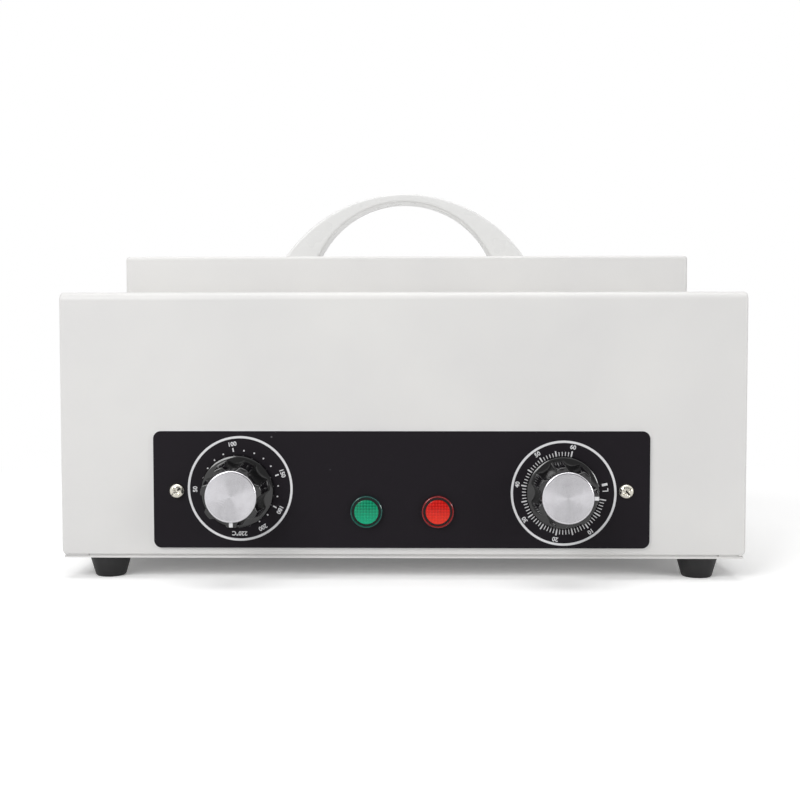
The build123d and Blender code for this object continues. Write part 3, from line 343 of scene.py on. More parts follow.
# %% The panel's black
panel_ink_dark = (14, 11, 15)
panel_ink_pale = (31, 26, 33)
panel_dust_tone = (120, 118, 122)
panel_metal_tone = (214, 216, 220)
panel_ink_depth = 0.0004
panel_grain_scale = 1500
panel_dust_scale = 120
panel_dust_choice_scale = 100
panel_height = 0.00002

panel_low, panel_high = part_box("control_panel")
panel_black = Finish("satin black print", specular_ior_level=0.16)
panel_here = panel_black.place()
panel_grain = panel_black.noise(panel_here, panel_grain_scale, 3, 0.6)
panel_dust = panel_black.ramp(panel_black.cells(panel_here, panel_dust_scale),
                              [(0.0, 1), (0.05, 1), (0.08, 0)])
panel_rare = panel_black.ramp(panel_black.noise(panel_here, panel_dust_choice_scale, 1),
                              [(0.0, 0), (0.62, 0), (0.64, 1)])
panel_edge = panel_black.along(panel_here, "Y").above(panel_low.y + panel_ink_depth)
panel_face = panel_black.blend(panel_grain, shade(*panel_ink_dark), shade(*panel_ink_pale))
panel_face = panel_black.blend(panel_dust * panel_rare * 0.6, panel_face, shade(*panel_dust_tone))
panel_black.put(base_color=panel_black.blend(panel_edge, panel_face, shade(*panel_metal_tone)),
                metallic=panel_edge, roughness=0.42 + 0.16 * panel_grain)
panel_black.raise_by(panel_grain, panel_height)
print("panel black", panel_black.material.name)

# %% [markdown]
# ## Wool and wires
# The wool that insulates the tank is matted fibre: two long noises crossed. The heater's leads
# have a braided glass sleeve, whose weave is a product of two slanted sine waves. The earth lead
# is green with a yellow stripe.

# %% Wool and sleeves
wool_scale = 900
wool_length = 0.15
wool_height = 0.0008
sleeve_pitch = 5200
sleeve_height = 0.0001
stripe_offset = 0.0004

wool = Finish("mineral wool", specular_ior_level=0.2)
wool_fibre = (wool.noise(wool.place(stretch=(wool_length, 1, 1)), wool_scale, 4)
              * wool.noise(wool.place(stretch=(1, wool_length, 1)), wool_scale, 4) * 2)
wool.put(base_color=wool.blend(wool_fibre, shade(168, 158, 128), shade(226, 220, 196)), roughness=0.95)
wool.raise_by(wool_fibre, wool_height)

glass_sleeve = Finish("glass fibre sleeve", specular_ior_level=0.3)
sleeve_here = glass_sleeve.place()
sleeve_x, sleeve_y, sleeve_z = (glass_sleeve.along(sleeve_here, axis) for axis in "XYZ")
sleeve_weave = (((sleeve_x + sleeve_y + sleeve_z) * sleeve_pitch).sine()
                * ((sleeve_x - sleeve_y - sleeve_z) * sleeve_pitch).sine())
glass_sleeve.put(base_color=glass_sleeve.blend(0.5 + 0.5 * sleeve_weave, shade(196, 190, 176),
                                               shade(238, 234, 222)), roughness=0.7)
glass_sleeve.raise_by(sleeve_weave, sleeve_height)

earth_green = Finish("green and yellow insulation")
earth_low, earth_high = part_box("earth_wire")
earth_stripe = earth_green.along(earth_green.place(), "X").above(
    (earth_low.x + earth_high.x) / 2 + stripe_offset)
earth_green.put(base_color=earth_green.blend(earth_stripe, shade(64, 140, 60), shade(226, 204, 60)),
                roughness=0.42 + 0.1 * earth_green.noise(earth_green.place(), 500))
print("soft finishes", [f.material.name for f in (wool, glass_sleeve, earth_green)])

# %% [markdown]
# ## Beginning a Geometry Nodes tree
# What repeats, such as a ring of marks, is made by a node tree with named inputs, so that one tree
# serves several pieces. Every tree begins in the same way, with its inputs, its output and a way to
# add a node with its links, so that beginning is written once.

# %% Node trees
def new_tree(name, sockets):
    """A tree with Geometry and these inputs, the inputs' identifiers, and a function that adds a node."""
    tree = bpy.data.node_groups.new(name, "GeometryNodeTree")
    inputs = {}
    for label, kind in (("Geometry", "Geometry"), *sockets):
        socket = tree.interface.new_socket(name=label, in_out="INPUT", socket_type="NodeSocket" + kind)
        inputs[label] = socket.identifier
    tree.interface.new_socket(name="Geometry", in_out="OUTPUT", socket_type="NodeSocketGeometry")

    def add(kind, links=None, **settings):
        fresh = tree.nodes.new(kind)
        for key, value in settings.items():
            setattr(fresh, key, value)
        for key, value in (links or {}).items():
            if isinstance(value, bpy.types.NodeSocket):
                tree.links.new(value, fresh.inputs[key])
            else:
                fresh.inputs[key].default_value = value
        return fresh

    return tree, inputs, add


print("trees can be made")

# %% [markdown]
# ## Dressing the construction's own pieces
# Each node keeps its mesh and gets a finish in its material slot. The mesh comes as loose
# triangles, so a Weld modifier joins them and a short node tree smooths every edge that turns by
# less than thirty degrees. The form stays as it is: only its shading is smooth.

# %% Smoothing
smooth_limit = math.radians(30)
weld_reach = 1e-6


def smoothing_tree():
    """The geometry, with every edge below the limit shaded smooth."""
    tree, inputs, add = new_tree("smooth by angle", (("Limit", "Float"),))
    start = add("NodeGroupInput")
    angle = add("GeometryNodeInputMeshEdgeAngle")
    soft = add("FunctionNodeCompare", {"A": angle.outputs["Unsigned Angle"], "B": start.outputs["Limit"]},
               operation="LESS_THAN")
    edges = add("GeometryNodeSetShadeSmooth", {"Geometry": start.outputs["Geometry"],
                                               "Shade Smooth": soft.outputs["Result"]}, domain="EDGE")
    faces = add("GeometryNodeSetShadeSmooth", {"Geometry": edges.outputs["Geometry"]})
    add("NodeGroupOutput", {"Geometry": faces.outputs["Geometry"]})
    return tree, inputs


smoothing, smoothing_inputs = smoothing_tree()


def dress(node, material):
    piece = nodes[node]
    piece.data.materials.clear()
    piece.data.materials.append(material)
    weld = piece.modifiers.new("weld", "WELD")
    weld.merge_threshold = weld_reach
    smooth = piece.modifiers.new("smooth", "NODES")
    smooth.node_group = smoothing
    smooth[smoothing_inputs["Limit"]] = smooth_limit


print("smooth below", round(math.degrees(smooth_limit)), "degrees")

# %% [markdown]
# One table says which piece has which finish, so that the whole object can be read at a glance.
# The knobs' caps and the lamps come later as pieces of their own, and the panel's screws, which are
# dressed here, get a cross recess there.

# %% Finishes for the nodes
finishes = {
    white_coat: ["outer_housing", "lid_shell", "base_plate"],
    zinc: ["wool_pan", "heater_clamp"],
    stainless: ["inner_tank", "instrument_tray", "lid_liner", "heating_element", "left_hinge_base_leaf",
                "left_hinge_lid_leaf", "right_hinge_base_leaf", "right_hinge_lid_leaf"],
    nickel: ["foot_screws", "base_screws", "heater_nuts", "panel_screws", "control_screws", "inlet_screws",
             "timer_bell", "earth_stud", "hinge_pins", "hinge_base_screws", "hinge_lid_screws",
             "handle_screws", "tank_rivets", "thermostat_shaft", "timer_shaft"],
    handle_white: ["lid_handle"],
    gloss_black: ["temperature_knob", "timer_knob", "power_inlet"],
    case_black: ["timer", "lamp_holders"],
    rubber_black: ["front_left_foot", "front_right_foot", "rear_left_foot", "rear_right_foot"],
    panel_black.material: ["control_panel"],
    print_white: ["temperature_scale", "timer_scale", "temperature_pointer", "timer_pointer"],
    ceramic: ["thermostat", "terminal_block", "thermal_cutout"],
    silicone: ["lid_gasket"],
    wool.material: ["tank_wool", "lid_wool"],
    copper: ["sensor_bulb"],
    brass: ["inlet_blades"],
    live_brown: ["live_wires"],
    neutral_blue: ["neutral_wires"],
    earth_green.material: ["earth_wire"],
    glass_sleeve.material: ["sleeved_wires"],
}
for material, names in finishes.items():
    for name in names:
        dress(name, material)
print("dressed", sum(len(names) for names in finishes.values()), "of", len(nodes))

# %% [markdown]
# ## Helpers for new meshes
# Five small helpers serve the pieces that follow. front_centre finds the middle of a node's front. lathe
# turns a profile round an axis, and mesh_from makes a mesh of what it turned. baked makes a node tree's
# result a plain mesh. made links a finished mesh to the scene.

# %% Helpers
def front_centre(low, high):
    """The middle of a box's front face."""
    return Vector(((low.x + high.x) / 2, low.y, (low.z + high.z) / 2))


def lathe(profile, start, segments):
    """A closed turned form about the Y axis through start. The profile lists (radius, depth along Y)."""
    bm = bmesh.new()
    angles = [2 * math.pi * i / segments for i in range(segments)]
    rings = []
    for radius, depth in profile:
        if radius == 0:
            rings.append([bm.verts.new(start + Vector((0, depth, 0)))])
        else:
            rings.append([bm.verts.new(start + Vector((radius * math.sin(a), depth, radius * math.cos(a))))
                          for a in angles])
    for low, high in zip(rings, rings[1:]):
        for i in range(segments):
            j = (i + 1) % segments
            corners = [low[i % len(low)], low[j % len(low)], high[j % len(high)], high[i % len(high)]]
            unique = list(dict.fromkeys(corners))
            if len(unique) > 2:
                bm.faces.new(unique)
    return bm


def mesh_from(bm, name, smooth=True):
    bmesh.ops.recalc_face_normals(bm, faces=bm.faces)
    mesh = bpy.data.meshes.new(name)
    bm.to_mesh(mesh)
    bm.free()
    mesh.shade_smooth() if smooth else mesh.shade_flat()
    return mesh


def baked(tree, inputs, values, name):
    """The plain mesh that a tree makes with these values."""
    carrier = bpy.data.objects.new(name, bpy.data.meshes.new(name))
    bpy.context.scene.collection.objects.link(carrier)
    modifier = carrier.modifiers.new("nodes", "NODES")
    modifier.node_group = tree
    for key, value in values.items():
        modifier[inputs[key]] = value
    bpy.context.view_layer.update()
    graph = bpy.context.evaluated_depsgraph_get()
    mesh = bpy.data.meshes.new_from_object(carrier.evaluated_get(graph))
    mesh.name = name
    bpy.data.objects.remove(carrier)
    return mesh


def made(name, mesh, material, body):
    mesh.materials.clear()
    mesh.materials.append(material)
    piece = bpy.data.objects.new(name, mesh)
    bpy.context.scene.collection.objects.link(piece)
    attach(piece, body)
    return piece


print("helpers ready")

# %% [markdown]
# ## The knobs' turned caps
# The cap of each knob is a disc of aluminium faced off on a lathe. The tool leaves fine rings, so
# light is stretched into bright spokes that run across the disc. The rings are real grooves in the
# mesh, half a millimetre apart, each drawn by four rings of points whose shading runs smoothly.

# %% Turned caps
ring_pitch = 0.0005
ring_depth = 0.000024
rings_per_groove = 4
cap_bevel = 0.0007
cap_bevel_in = 0.35
cap_bevel_down = 0.25
cap_segments = 128
cap_sharp_limit = math.radians(60)
cap_wander_scale = 220


def turned_face(name, centre):
    face = Finish(name, metallic=1.0)
    wander = face.noise(face.place(centre=centre), cap_wander_scale, 2)
    face.put(base_color=face.blend(wander, shade(206, 204, 208), shade(228, 227, 231)),
             roughness=0.17 + 0.05 * wander)
    return face.material


def turned_cap(node):
    low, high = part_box(node)
    radius = (high.x - low.x) / 2
    centre = front_centre(low, high)
    depth = high.y - low.y
    flat = radius - cap_bevel
    step = ring_pitch / rings_per_groove
    profile = [(0, ring_depth)]
    for i in range(1, int(flat / step)):
        profile.append((i * step, ring_depth * (1 - math.sin(2 * math.pi * i / rings_per_groove))))
    profile += [(flat, ring_depth), (radius - cap_bevel * cap_bevel_in, cap_bevel * cap_bevel_down),
                (radius, cap_bevel), (radius, depth), (0, depth)]
    mesh = mesh_from(lathe(profile, centre, cap_segments), node + "_turned")
    mesh.set_sharp_from_angle(angle=cap_sharp_limit)
    return centre, mesh


for node, body in (("temperature_knob_cap", "temperature_dial"), ("timer_knob_cap", "timer_dial")):
    centre, mesh = turned_cap(node)
    cap = made(node + "_turned", mesh, turned_face(node + " turned aluminium", centre), body)
    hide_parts(node)
    print(cap.name, len(mesh.polygons), "faces")

# %% [markdown]
# ## The lamps
# Each lamp is a clear coloured moulding: a rim on the panel, a groove and a raised face with a grid of
# little pyramids that break up the light. Its colour is drawn first: painted highlight dots where a pyramid
# would catch the light, painted paler light near the bottom, and a faint painted glow. The groove's dark
# tone is painted shadow, and the rim is clear plastic with black behind it.

# %% The lamps' finishes
lens_pitch = 0.00155
lens_face = 0.0064
painted_light_fall_start = lens_face * 0.35
lens_cloud_scale = 330
clear_cloud_scale = 400


def lens_finish(name, centre, deep, bright, painted_low_light_tone, glow):
    """Painted highlight dots where the prisms would catch the light, painted paler light towards the
    bottom, and a faint painted glow.
    """
    lens = Finish(name, specular_ior_level=0.25, coat_weight=0.12, coat_roughness=0.08,
                  emission_strength=glow)
    here = lens.place(centre=centre)
    side, height = (lens.along(here, axis) for axis in "XZ")
    turns = 2 * math.pi / lens_pitch
    # Painted highlights: a lattice of paler dots where the pyramids would catch the light; bright is their
    # painted highlight colour.
    painted_highlight_dots = 0.5 - 0.25 * (side * turns + math.pi / 2).sine() - 0.25 * (height * turns + math.pi / 2).sine()
    cloud = lens.noise(here, lens_cloud_scale, 2)
    colour = lens.blend(painted_highlight_dots * 0.7 + cloud * 0.3, shade(*deep), shade(*bright))
    # Painted light: the face turns paler towards the bottom.
    painted_light_fall = lens.node("ShaderNodeMapRange", {}, {"Value": height, "From Min": painted_light_fall_start,
                                                "From Max": -lens_face})
    colour = lens.blend(painted_light_fall * 0.7, colour, shade(*painted_low_light_tone))
    # The same colour, with its painted highlights and painted light, also feeds a faint painted glow.
    lens.put(base_color=colour, emission_color=colour, roughness=0.2 + 0.1 * cloud)
    return lens.material


def clear_finish(name, tone, gloss):
    """Clear moulding with black behind it for the thin rim outside, and painted shadow for the dark groove
    round the face.
    """
    clear = Finish(name, specular_ior_level=gloss)
    shadow = clear.noise(clear.place(), clear_cloud_scale, 2)
    clear.put(base_color=clear.blend(shadow, shade(*tone), toned(tone, 1.5)),
              roughness=0.12 + 0.1 * shadow)
    return clear.material


print("a dot every", lens_pitch, "m")

# %% [markdown]
# The pyramids stand in a square lattice that a circle cuts off. Placed by hand they would be dozens
# of copies, so a node tree takes the points of a grid, drops those outside the circle and puts a
# four-sided cone on each of the rest.

# %% The prism lattice
pyramid_reach = 0.7071


def lattice_tree():
    """Pyramids on a square lattice inside a circle, in the XZ plane."""
    tree, inputs, add = new_tree("lens lattice", (("Centre", "Vector"), ("Radius", "Float"),
                                                  ("Pitch", "Float"), ("Height", "Float"),
                                                  ("Material", "Material")))
    start = add("NodeGroupInput")
    size = add("ShaderNodeMath", {0: start.outputs["Radius"], 1: 2.0}, operation="MULTIPLY")
    count = add("ShaderNodeMath", {0: size.outputs[0], 1: start.outputs["Pitch"]}, operation="DIVIDE")
    whole = add("FunctionNodeFloatToInt", {0: count.outputs[0]})
    odd = add("ShaderNodeMath", {0: whole.outputs[0], 1: 1.0}, operation="ADD")
    span = add("ShaderNodeMath", {0: whole.outputs[0], 1: start.outputs["Pitch"]}, operation="MULTIPLY")
    grid = add("GeometryNodeMeshGrid", {"Size X": span.outputs[0], "Size Y": span.outputs[0],
                                        "Vertices X": odd.outputs[0], "Vertices Y": odd.outputs[0]})
    points = add("GeometryNodeMeshToPoints", {"Mesh": grid.outputs["Mesh"]})
    place = add("GeometryNodeInputPosition")
    distance = add("ShaderNodeVectorMath", {0: place.outputs[0]}, operation="LENGTH")
    outside = add("FunctionNodeCompare", {"A": distance.outputs["Value"], "B": start.outputs["Radius"]},
                  operation="GREATER_THAN")
    kept = add("GeometryNodeDeleteGeometry", {"Geometry": points.outputs["Points"],
                                              "Selection": outside.outputs["Result"]})
    base = add("ShaderNodeMath", {0: start.outputs["Pitch"], 1: pyramid_reach}, operation="MULTIPLY")
    pyramid = add("GeometryNodeMeshCone", {"Vertices": 4, "Radius Top": 0.0,
                                           "Radius Bottom": base.outputs[0],
                                           "Depth": start.outputs["Height"]})
    turned = add("GeometryNodeTransform", {"Geometry": pyramid.outputs["Mesh"],
                                           "Rotation": (0.0, 0.0, math.radians(45))})
    copies = add("GeometryNodeInstanceOnPoints", {"Points": kept.outputs["Geometry"],
                                                  "Instance": turned.outputs["Geometry"]})
    upright = add("GeometryNodeTransform", {"Geometry": copies.outputs["Instances"],
                                            "Translation": start.outputs["Centre"],
                                            "Rotation": (math.radians(90), 0.0, 0.0)})
    real = add("GeometryNodeRealizeInstances", {"Geometry": upright.outputs["Geometry"]})
    coloured = add("GeometryNodeSetMaterial", {"Geometry": real.outputs["Geometry"],
                                               "Material": start.outputs["Material"]})
    add("NodeGroupOutput", {"Geometry": coloured.outputs["Geometry"]})
    return tree, inputs


lattice, lattice_inputs = lattice_tree()
print("lattice inputs", len(lattice_inputs))

# %% [markdown]
# The rim, the groove and the face are round, so one turned profile draws them all, from the middle
# of the face outwards and back along the neck that goes into the panel. Its outer edges are rounded
# in the same way, by three points each.

# %% Lamp lenses
lens_peak = 0.0005
lens_edge = 0.0005
lens_rise = 0.0026
lens_groove = 0.0012
lens_lip = 0.0022
lens_neck = 0.006
lens_rim = 0.0084
lens_segments = 64
groove_outer = lens_face + lens_groove
groove_floor = lens_rise - lens_groove
groove_wall_top = 0.0008
groove_slack = 0.0001
groove_start = lens_peak + 0.0006
rim_slope = 0.0003
rim_top = lens_rise - lens_lip
rim_edge_in = 0.0004
rim_edge_down = 0.0006
grid_depth = lens_peak / 2 + lens_peak
grid_radius = lens_face - 0.0009
edge_middle = (0.0001, 0.0002)
# Each row: the node, the lens's own deep tone, the painted highlight of its dots, the painted light towards
# the bottom, the groove's painted shadow, the rim's tone and the strength of a faint painted glow.
lamps = (("green_lamp_lens", (0, 80, 56), (0, 164, 118), (0, 176, 130), (3, 14, 12), (16, 62, 56), 0.1),
         ("red_lamp_lens", (146, 2, 1), (222, 26, 14), (236, 58, 34), (16, 3, 3), (104, 22, 24), 0.12))


def rounded_edge(radius, depth, edge_in, edge_down):
    """Three points round an outer edge, from edge_in across the face to edge_down along the side."""
    return [(radius - edge_in, depth), (radius - edge_middle[0], depth + edge_middle[1]),
            (radius, depth + edge_down)]


for node, deep, bright, painted_low_light_tone, painted_groove_shade_tone, rim_tone, glow in lamps:
    low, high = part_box(node)
    centre = front_centre(low, high)
    depth = high.y - low.y
    colour_name = node.replace("_", " ")
    finish = lens_finish(colour_name, centre, deep, bright, painted_low_light_tone, glow)
    profile = [(0, lens_peak), *rounded_edge(lens_face, lens_peak, lens_edge, lens_edge),
               (lens_face, groove_floor), (groove_outer, groove_floor), (groove_outer, groove_wall_top),
               (groove_outer + rim_slope, rim_top),
               *rounded_edge(lens_rim, rim_top, rim_edge_in, rim_edge_down),
               (lens_rim, lens_rise), (lens_neck, lens_rise), (lens_neck, depth), (0, depth)]
    body_mesh = mesh_from(lathe(profile, centre, lens_segments), node + "_moulding")
    body_mesh.set_sharp_from_angle(angle=smooth_limit)
    grid_mesh = baked(lattice, lattice_inputs,
                      {"Centre": centre + Vector((0, grid_depth, 0)), "Radius": grid_radius,
                       "Pitch": lens_pitch, "Height": lens_peak, "Material": finish}, node + "_grid")
    moulding_piece = made(node + "_moulding", body_mesh, finish, "cabinet")
    # The groove's dark tone is painted shadow where the groove lies in shade; the rim keeps the clear
    # moulding's own tone.
    body_mesh.materials.append(clear_finish(colour_name + " groove", painted_groove_shade_tone, 0.3))
    body_mesh.materials.append(clear_finish(colour_name + " rim", rim_tone, 0.6))
    for polygon in body_mesh.polygons:
        away = Vector((polygon.center.x - centre.x, polygon.center.z - centre.z)).length
        if away > groove_outer:
            polygon.material_index = 2
        elif away > lens_face - groove_slack and polygon.center.y > low.y + groove_start:
            polygon.material_index = 1
    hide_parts(node)
    grid_piece = made(node + "_grid", grid_mesh, finish, "cabinet")
    print(node, len(body_mesh.polygons), "+", len(grid_mesh.polygons), "faces")

# %% [markdown]
# ## The dial figures
# The figures round the dials are printed with their tops outwards, so they turn with their place.
# Each is a text object made into a mesh, a tenth of a millimetre thick, and laid on the panel. The
# angle is counted clockwise from the top, as on a clock.

# %% Dial figures
panel_front = panel_low.y
print_depth = 0.00012
figure_size = 0.0031
figure_weight = figure_size * 0.026
temperature_ring = Vector((-0.0850, 0, 0.0481))
temperature_radius = 0.0236
timer_ring = Vector((0.0844, 0, 0.0458))
timer_radius = 0.0245
timer_zero = 99.5
timer_minute = 4.53


def around(ring, angle, radius):
    """The point on the panel at this clock angle and distance from a ring's centre."""
    a = math.radians(angle)
    return Vector((ring.x + radius * math.sin(a), panel_front, ring.z + radius * math.cos(a)))


def figures(name, ring, rows, radius):
    bm = bmesh.new()
    for words, angle in rows:
        curve = bpy.data.curves.new(name, "FONT")
        curve.body = words
        curve.size = figure_size
        curve.align_x = "CENTER"
        curve.align_y = "CENTER"
        curve.extrude = print_depth / 2
        curve.offset = figure_weight
        holder = bpy.data.objects.new(name, curve)
        bpy.context.scene.collection.objects.link(holder)
        bpy.context.view_layer.update()
        graph = bpy.context.evaluated_depsgraph_get()
        mesh = bpy.data.meshes.new_from_object(holder.evaluated_get(graph))
        stand = Matrix.Rotation(math.radians(90), 4, "X")
        spin = Matrix.Rotation(math.radians(angle), 4, "Y")
        middle = around(ring, angle, radius) - Vector((0, print_depth / 2, 0))
        mesh.transform(Matrix.Translation(middle) @ spin @ stand)
        bm.from_mesh(mesh)
        bpy.data.objects.remove(holder)
        bpy.data.meshes.remove(mesh)
    mesh = mesh_from(bm, name, smooth=False)
    piece = made(name, mesh, print_white, "cabinet")
    return piece


temperature_rows = [("50", -91), ("100", -10), ("150", 70), ("180", 118), ("200", 150), ("220°C", 181)]
timer_rows = [(str(minutes), timer_zero + timer_minute * minutes) for minutes in range(10, 61, 10)]
for piece in (figures("temperature_figures", temperature_ring, temperature_rows, temperature_radius),
              figures("timer_figures", timer_ring, timer_rows, timer_radius)):
    print(piece.name, len(piece.data.polygons), "faces")

# %% [markdown]
# ## The timer's marks
# Sixty-one fine marks run round three quarters of the timer's ring. They could be laid one by one,
# but a node tree lays any number of them: a line of points, each sent to its angle, with a thin bar
# on it.

# %% A tree for marks
def marks_tree():
    """Bars at even angles round a centre, in the XZ plane."""
    tree, inputs, add = new_tree("dial marks", (("Centre", "Vector"), ("Count", "Int"), ("First", "Float"),
                                                ("Step", "Float"), ("Radius", "Float"), ("Bar", "Vector"),
                                                ("Material", "Material")))
    start = add("NodeGroupInput")
    points = add("GeometryNodePoints", {"Count": start.outputs["Count"]})
    index = add("GeometryNodeInputIndex")
    turn = add("ShaderNodeMath", {0: index.outputs[0], 1: start.outputs["Step"],
                                  2: start.outputs["First"]}, operation="MULTIPLY_ADD")
    sine = add("ShaderNodeMath", {0: turn.outputs[0]}, operation="SINE")
    cosine = add("ShaderNodeMath", {0: turn.outputs[0]}, operation="COSINE")
    across = add("ShaderNodeMath", {0: sine.outputs[0], 1: start.outputs["Radius"]}, operation="MULTIPLY")
    up = add("ShaderNodeMath", {0: cosine.outputs[0], 1: start.outputs["Radius"]}, operation="MULTIPLY")
    place = add("ShaderNodeCombineXYZ", {"X": across.outputs[0], "Z": up.outputs[0]})
    moved = add("ShaderNodeVectorMath", {0: place.outputs[0], 1: start.outputs["Centre"]}, operation="ADD")
    laid = add("GeometryNodeSetPosition", {"Geometry": points.outputs[0], "Position": moved.outputs[0]})
    bar = add("GeometryNodeMeshCube", {"Size": start.outputs["Bar"]})
    spin = add("ShaderNodeCombineXYZ", {"Y": turn.outputs[0]})
    copies = add("GeometryNodeInstanceOnPoints", {"Points": laid.outputs["Geometry"],
                                                  "Instance": bar.outputs["Mesh"],
                                                  "Rotation": spin.outputs[0]})
    real = add("GeometryNodeRealizeInstances", {"Geometry": copies.outputs["Instances"]})
    coloured = add("GeometryNodeSetMaterial", {"Geometry": real.outputs["Geometry"],
                                               "Material": start.outputs["Material"]})
    add("NodeGroupOutput", {"Geometry": coloured.outputs["Geometry"]})
    return tree, inputs


marks, marks_inputs = marks_tree()
print("marks inputs", len(marks_inputs))

# %% [markdown]
# Every fifth mark is longer and bolder, and before the nought there is a plain bar with a hook: the
# place where the timer is switched on for good. One table has a row for each of them: how many
# there are, the first angle, the step, the radius, and a bar's width and length. The bold ones lie
# a hair above the fine ones, so that the two don't share a face.

# %% Marks
minute_step = math.radians(timer_minute)
minute_first = math.radians(timer_zero)
hold_radius = 0.0218
fine_centre = Vector((timer_ring.x, panel_front - print_depth / 2, timer_ring.z))
bold_centre = fine_centre - Vector((0, print_depth * 0.1, 0))
mark_rows = (
    ("minute_marks", fine_centre, 61, minute_first, minute_step, 0.0205, (0.00042, 0.0024)),
    ("five_minute_marks", bold_centre, 13, minute_first, 5 * minute_step, 0.02065, (0.00062, 0.0036)),
    ("hold_bar", bold_centre, 1, math.radians(78), 0.0, hold_radius, (0.0013, 0.0030)),
    ("hold_stem", bold_centre, 1, math.radians(87), 0.0, hold_radius, (0.0005, 0.0030)),
    ("hold_hook", bold_centre, 1, math.radians(85.2), 0.0, 0.0231, (0.0016, 0.0005)))
for name, centre, count, first, step, radius, (width, length) in mark_rows:
    mesh = baked(marks, marks_inputs,
                 {"Centre": centre, "Count": count, "First": first, "Step": step, "Radius": radius,
                  "Bar": Vector((width, print_depth, length)), "Material": print_white}, name)
    piece = made(name, mesh, print_white, "cabinet")
    print(name, len(mesh.polygons), "faces")

# %% [markdown]
# ## The panel screws' cross recess
# The two screws that hold the panel have a cross struck into their domed heads. A cross of two
# blades could be painted on, but then it would stay flat from the side. So a Geometry Nodes tree
# puts such a cross on each head, along a line from one screw to the other, and cuts it out of them.

# %% Recessed screws
blade_size = Vector((0.0009, 0.0026, 0.0050))
cross_turn = math.radians(52)


def recess_tree():
    """A node's solids with a cross of two blades cut out at each place of a row."""
    tree, inputs, add = new_tree("cross recess", (("Screws", "Object"), ("First", "Vector"),
                                                  ("Last", "Vector"), ("Count", "Int"), ("Blade", "Vector"),
                                                  ("Turn", "Float"), ("Material", "Material")))
    start = add("NodeGroupInput")
    screws = add("GeometryNodeObjectInfo", {"Object": start.outputs["Screws"]})
    row = add("GeometryNodeMeshLine", {"Count": start.outputs["Count"],
                                       "Start Location": start.outputs["First"],
                                       "Offset": start.outputs["Last"]}, mode="END_POINTS")
    blade = add("GeometryNodeMeshCube", {"Size": start.outputs["Blade"]})
    cut = add("GeometryNodeMeshBoolean", {"Mesh 1": screws.outputs["Geometry"]}, operation="DIFFERENCE")
    for extra_turn in (0.0, math.radians(90)):
        angle = add("ShaderNodeMath", {0: start.outputs["Turn"], 1: extra_turn}, operation="ADD")
        spin = add("ShaderNodeCombineXYZ", {"Y": angle.outputs[0]})
        copies = add("GeometryNodeInstanceOnPoints", {"Points": row.outputs["Mesh"],
                                                      "Instance": blade.outputs["Mesh"],
                                                      "Rotation": spin.outputs[0]})
        real = add("GeometryNodeRealizeInstances", {"Geometry": copies.outputs["Instances"]})
        tree.links.new(real.outputs["Geometry"], cut.inputs["Mesh 2"])
    coloured = add("GeometryNodeSetMaterial", {"Geometry": cut.outputs["Mesh"],
                                               "Material": start.outputs["Material"]})
    add("NodeGroupOutput", {"Geometry": coloured.outputs["Geometry"]})
    return tree, inputs


recess, recess_inputs = recess_tree()
screw_low, screw_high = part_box("panel_screws")
head_radius = (screw_high.z - screw_low.z) / 2
head_z = (screw_low.z + screw_high.z) / 2
screw_mesh = baked(recess, recess_inputs,
                   {"Screws": nodes["panel_screws"], "Count": 2, "Turn": cross_turn,
                    "First": Vector((screw_low.x + head_radius, screw_low.y, head_z)),
                    "Last": Vector((screw_high.x - head_radius, screw_low.y, head_z)),
                    "Blade": blade_size, "Material": nickel}, "panel_screws_crossed")
screw_mesh.set_sharp_from_angle(angle=smooth_limit)
screw_piece = made("panel_screws_crossed", screw_mesh, nickel, "cabinet")
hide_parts("panel_screws")
print("crossed screws", len(screw_mesh.polygons), "faces")

# %% [markdown]
# ## Floor
# A catalogue picture stands on white and keeps a soft shadow under the object. Near the object the
# floor is a diffuse white that shows the shadow, and further off it turns into a plain white glow,
# so that no horizon shows. The glow is there for the eye and for reflections alone: to the light
# that reaches the object, the whole floor is the diffuse white.

# %% Floor
floor_half = 6.0
floor_near = 0.26
floor_far = 0.6
floor_least = 0.15
floor_level = 0.88
floor_seen_level = 1.3


def staged(name, corners):
    """One flat face that isn't part of the object."""
    mesh = bpy.data.meshes.new(name)
    mesh.from_pydata(corners, [], [(0, 1, 2, 3)])
    sheet = bpy.data.objects.new(name, mesh)
    bpy.context.scene.collection.objects.link(sheet)
    sheet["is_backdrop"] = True
    return sheet


floor = staged("floor", [(-floor_half, -floor_half, 0), (floor_half, -floor_half, 0),
                         (floor_half, floor_half, 0), (-floor_half, floor_half, 0)])
floor_finish = Finish("white floor")
floor.data.materials.append(floor_finish.material)
floor_eye, floor_gloss, floor_through = (
    floor_finish.node("ShaderNodeLightPath", output="Is " + ray + " Ray")
    for ray in ("Camera", "Glossy", "Transmission"))
floor_away = floor_finish.node("ShaderNodeVectorMath", {"operation": "LENGTH"},
                               {0: floor_finish.place()}, "Value")
floor_fade = floor_finish.node("ShaderNodeMapRange", {}, {"Value": floor_away, "From Min": floor_near,
                                                          "From Max": floor_far, "To Min": floor_least})
floor_white = floor_finish.blend(floor_eye, (floor_level,) * 3 + (1,), (floor_seen_level,) * 3 + (1,))
floor_matt = floor_finish.node("ShaderNodeBsdfDiffuse", {}, {"Color": floor_white}, "BSDF")
floor_glow = floor_finish.node("ShaderNodeEmission", {}, {"Strength": 1.0}, "Emission")
floor_share = floor_fade * (floor_eye + floor_gloss + floor_through)
floor_mix = floor_finish.node("ShaderNodeMixShader", {}, {0: floor_share, 1: floor_matt, 2: floor_glow},
                              "Shader")
floor_finish.plug(floor_finish.tree.nodes["Material Output"].inputs["Surface"], floor_mix)
print("floor fades from", floor_near, "to", floor_far)

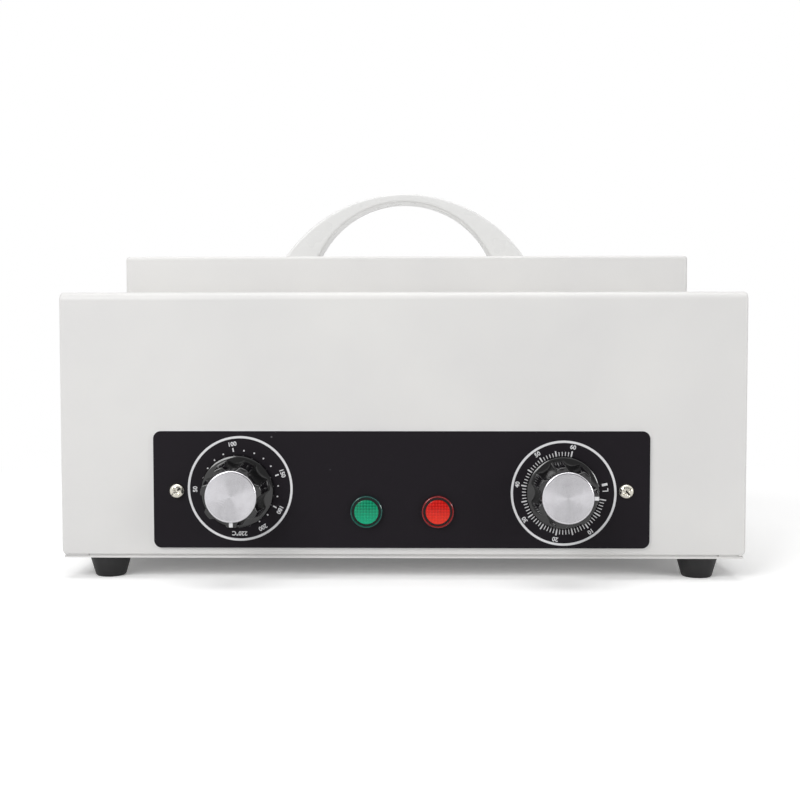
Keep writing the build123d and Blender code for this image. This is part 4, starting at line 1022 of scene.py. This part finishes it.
# %% [markdown]
# ## World
# The world behind the object is white for the eye and for reflections, because metal has to have
# something bright to show. The light that it gives the object is much weaker, so that the lamps
# draw its shape and the white coat doesn't clip.

# %% World
world_light = 0.285
world_seen_light = 1.0

world = bpy.data.worlds.new("studio")
world.use_nodes = True
bpy.context.scene.world = world
world_tree = world.node_tree
background = world_tree.nodes["Background"]
background.inputs["Color"].default_value = (1, 1, 1, 1)
light_path = world_tree.nodes.new("ShaderNodeLightPath")
seen = light_path.outputs["Is Camera Ray"]
for ray in ("Is Glossy Ray", "Is Transmission Ray"):
    either = world_tree.nodes.new("ShaderNodeMath")
    either.operation = "MAXIMUM"
    world_tree.links.new(seen, either.inputs[0])
    world_tree.links.new(light_path.outputs[ray], either.inputs[1])
    seen = either.outputs[0]
level = world_tree.nodes.new("ShaderNodeMapRange")
level.inputs["To Min"].default_value = world_light
level.inputs["To Max"].default_value = world_seen_light
world_tree.links.new(seen, level.inputs["Value"])
world_tree.links.new(level.outputs[0], background.inputs["Strength"])
bpy.context.scene.view_settings.view_transform = "Standard"
print("world lights with", world_light)

# %% [markdown]
# ## The dark card
# Black gloss looks black only where something dark is reflected in it. A photographer hangs a dark
# card behind the camera. It is seen by reflections alone: it casts no shadow and gives no light.

# %% Dark card
card_left = -0.6
card_right = 1.9
card_bottom = 0.02
card_top = 1.5
card_y = -1.9
card_glow = 0.3

card = staged("dark card", [(card_left, card_y, card_bottom), (card_right, card_y, card_bottom),
                            (card_right, card_y, card_top), (card_left, card_y, card_top)])
card_finish = Finish("card", base_color=(0, 0, 0, 1), specular_ior_level=0.0)
card_finish.put(emission_color=(1, 1, 1, 1), emission_strength=card_glow)
card.data.materials.append(card_finish.material)
card.visible_camera = False
card.visible_diffuse = False
card.visible_shadow = False
print("dark card at", card_y)

# %% [markdown]
# ## Lamps
# Three soft boxes light the object. The key comes from the upper left and shapes the front, a small
# fill from the right keeps the other side open, and a wide one above lights the lid. All point at
# the middle of the object, and none is seen by the camera.

# %% Lamps
lamp_target = Vector((0, 0, 0.1))
lamp_rows = (("key", Vector((-1.1, -1.5, 1.3)), 1.2, 1.0, 22.0),
             ("fill", Vector((1.7, -1.1, 0.5)), 0.5, 0.5, 7.5),
             ("top", Vector((0, 0.1, 1.9)), 1.6, 1.2, 16.0))
for name, place, width, height, watts in lamp_rows:
    light = bpy.data.lights.new(name, "AREA")
    light.shape = "RECTANGLE"
    light.size = width
    light.size_y = height
    light.energy = watts
    lamp = bpy.data.objects.new(name, light)
    aim = (lamp_target - place).to_track_quat("-Z", "Y").to_matrix().to_4x4()
    lamp.matrix_world = Matrix.Translation(place) @ aim
    lamp.visible_camera = False
    bpy.context.scene.collection.objects.link(lamp)
    print(name, watts, "W")

# %% [markdown]
# ## Finishing
# The size of the dressed object's box is printed. Nothing that is added may stand out of it.

# %% Sizes and finish
low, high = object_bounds()
print("visual box", [round(v, 4) for v in high - low])
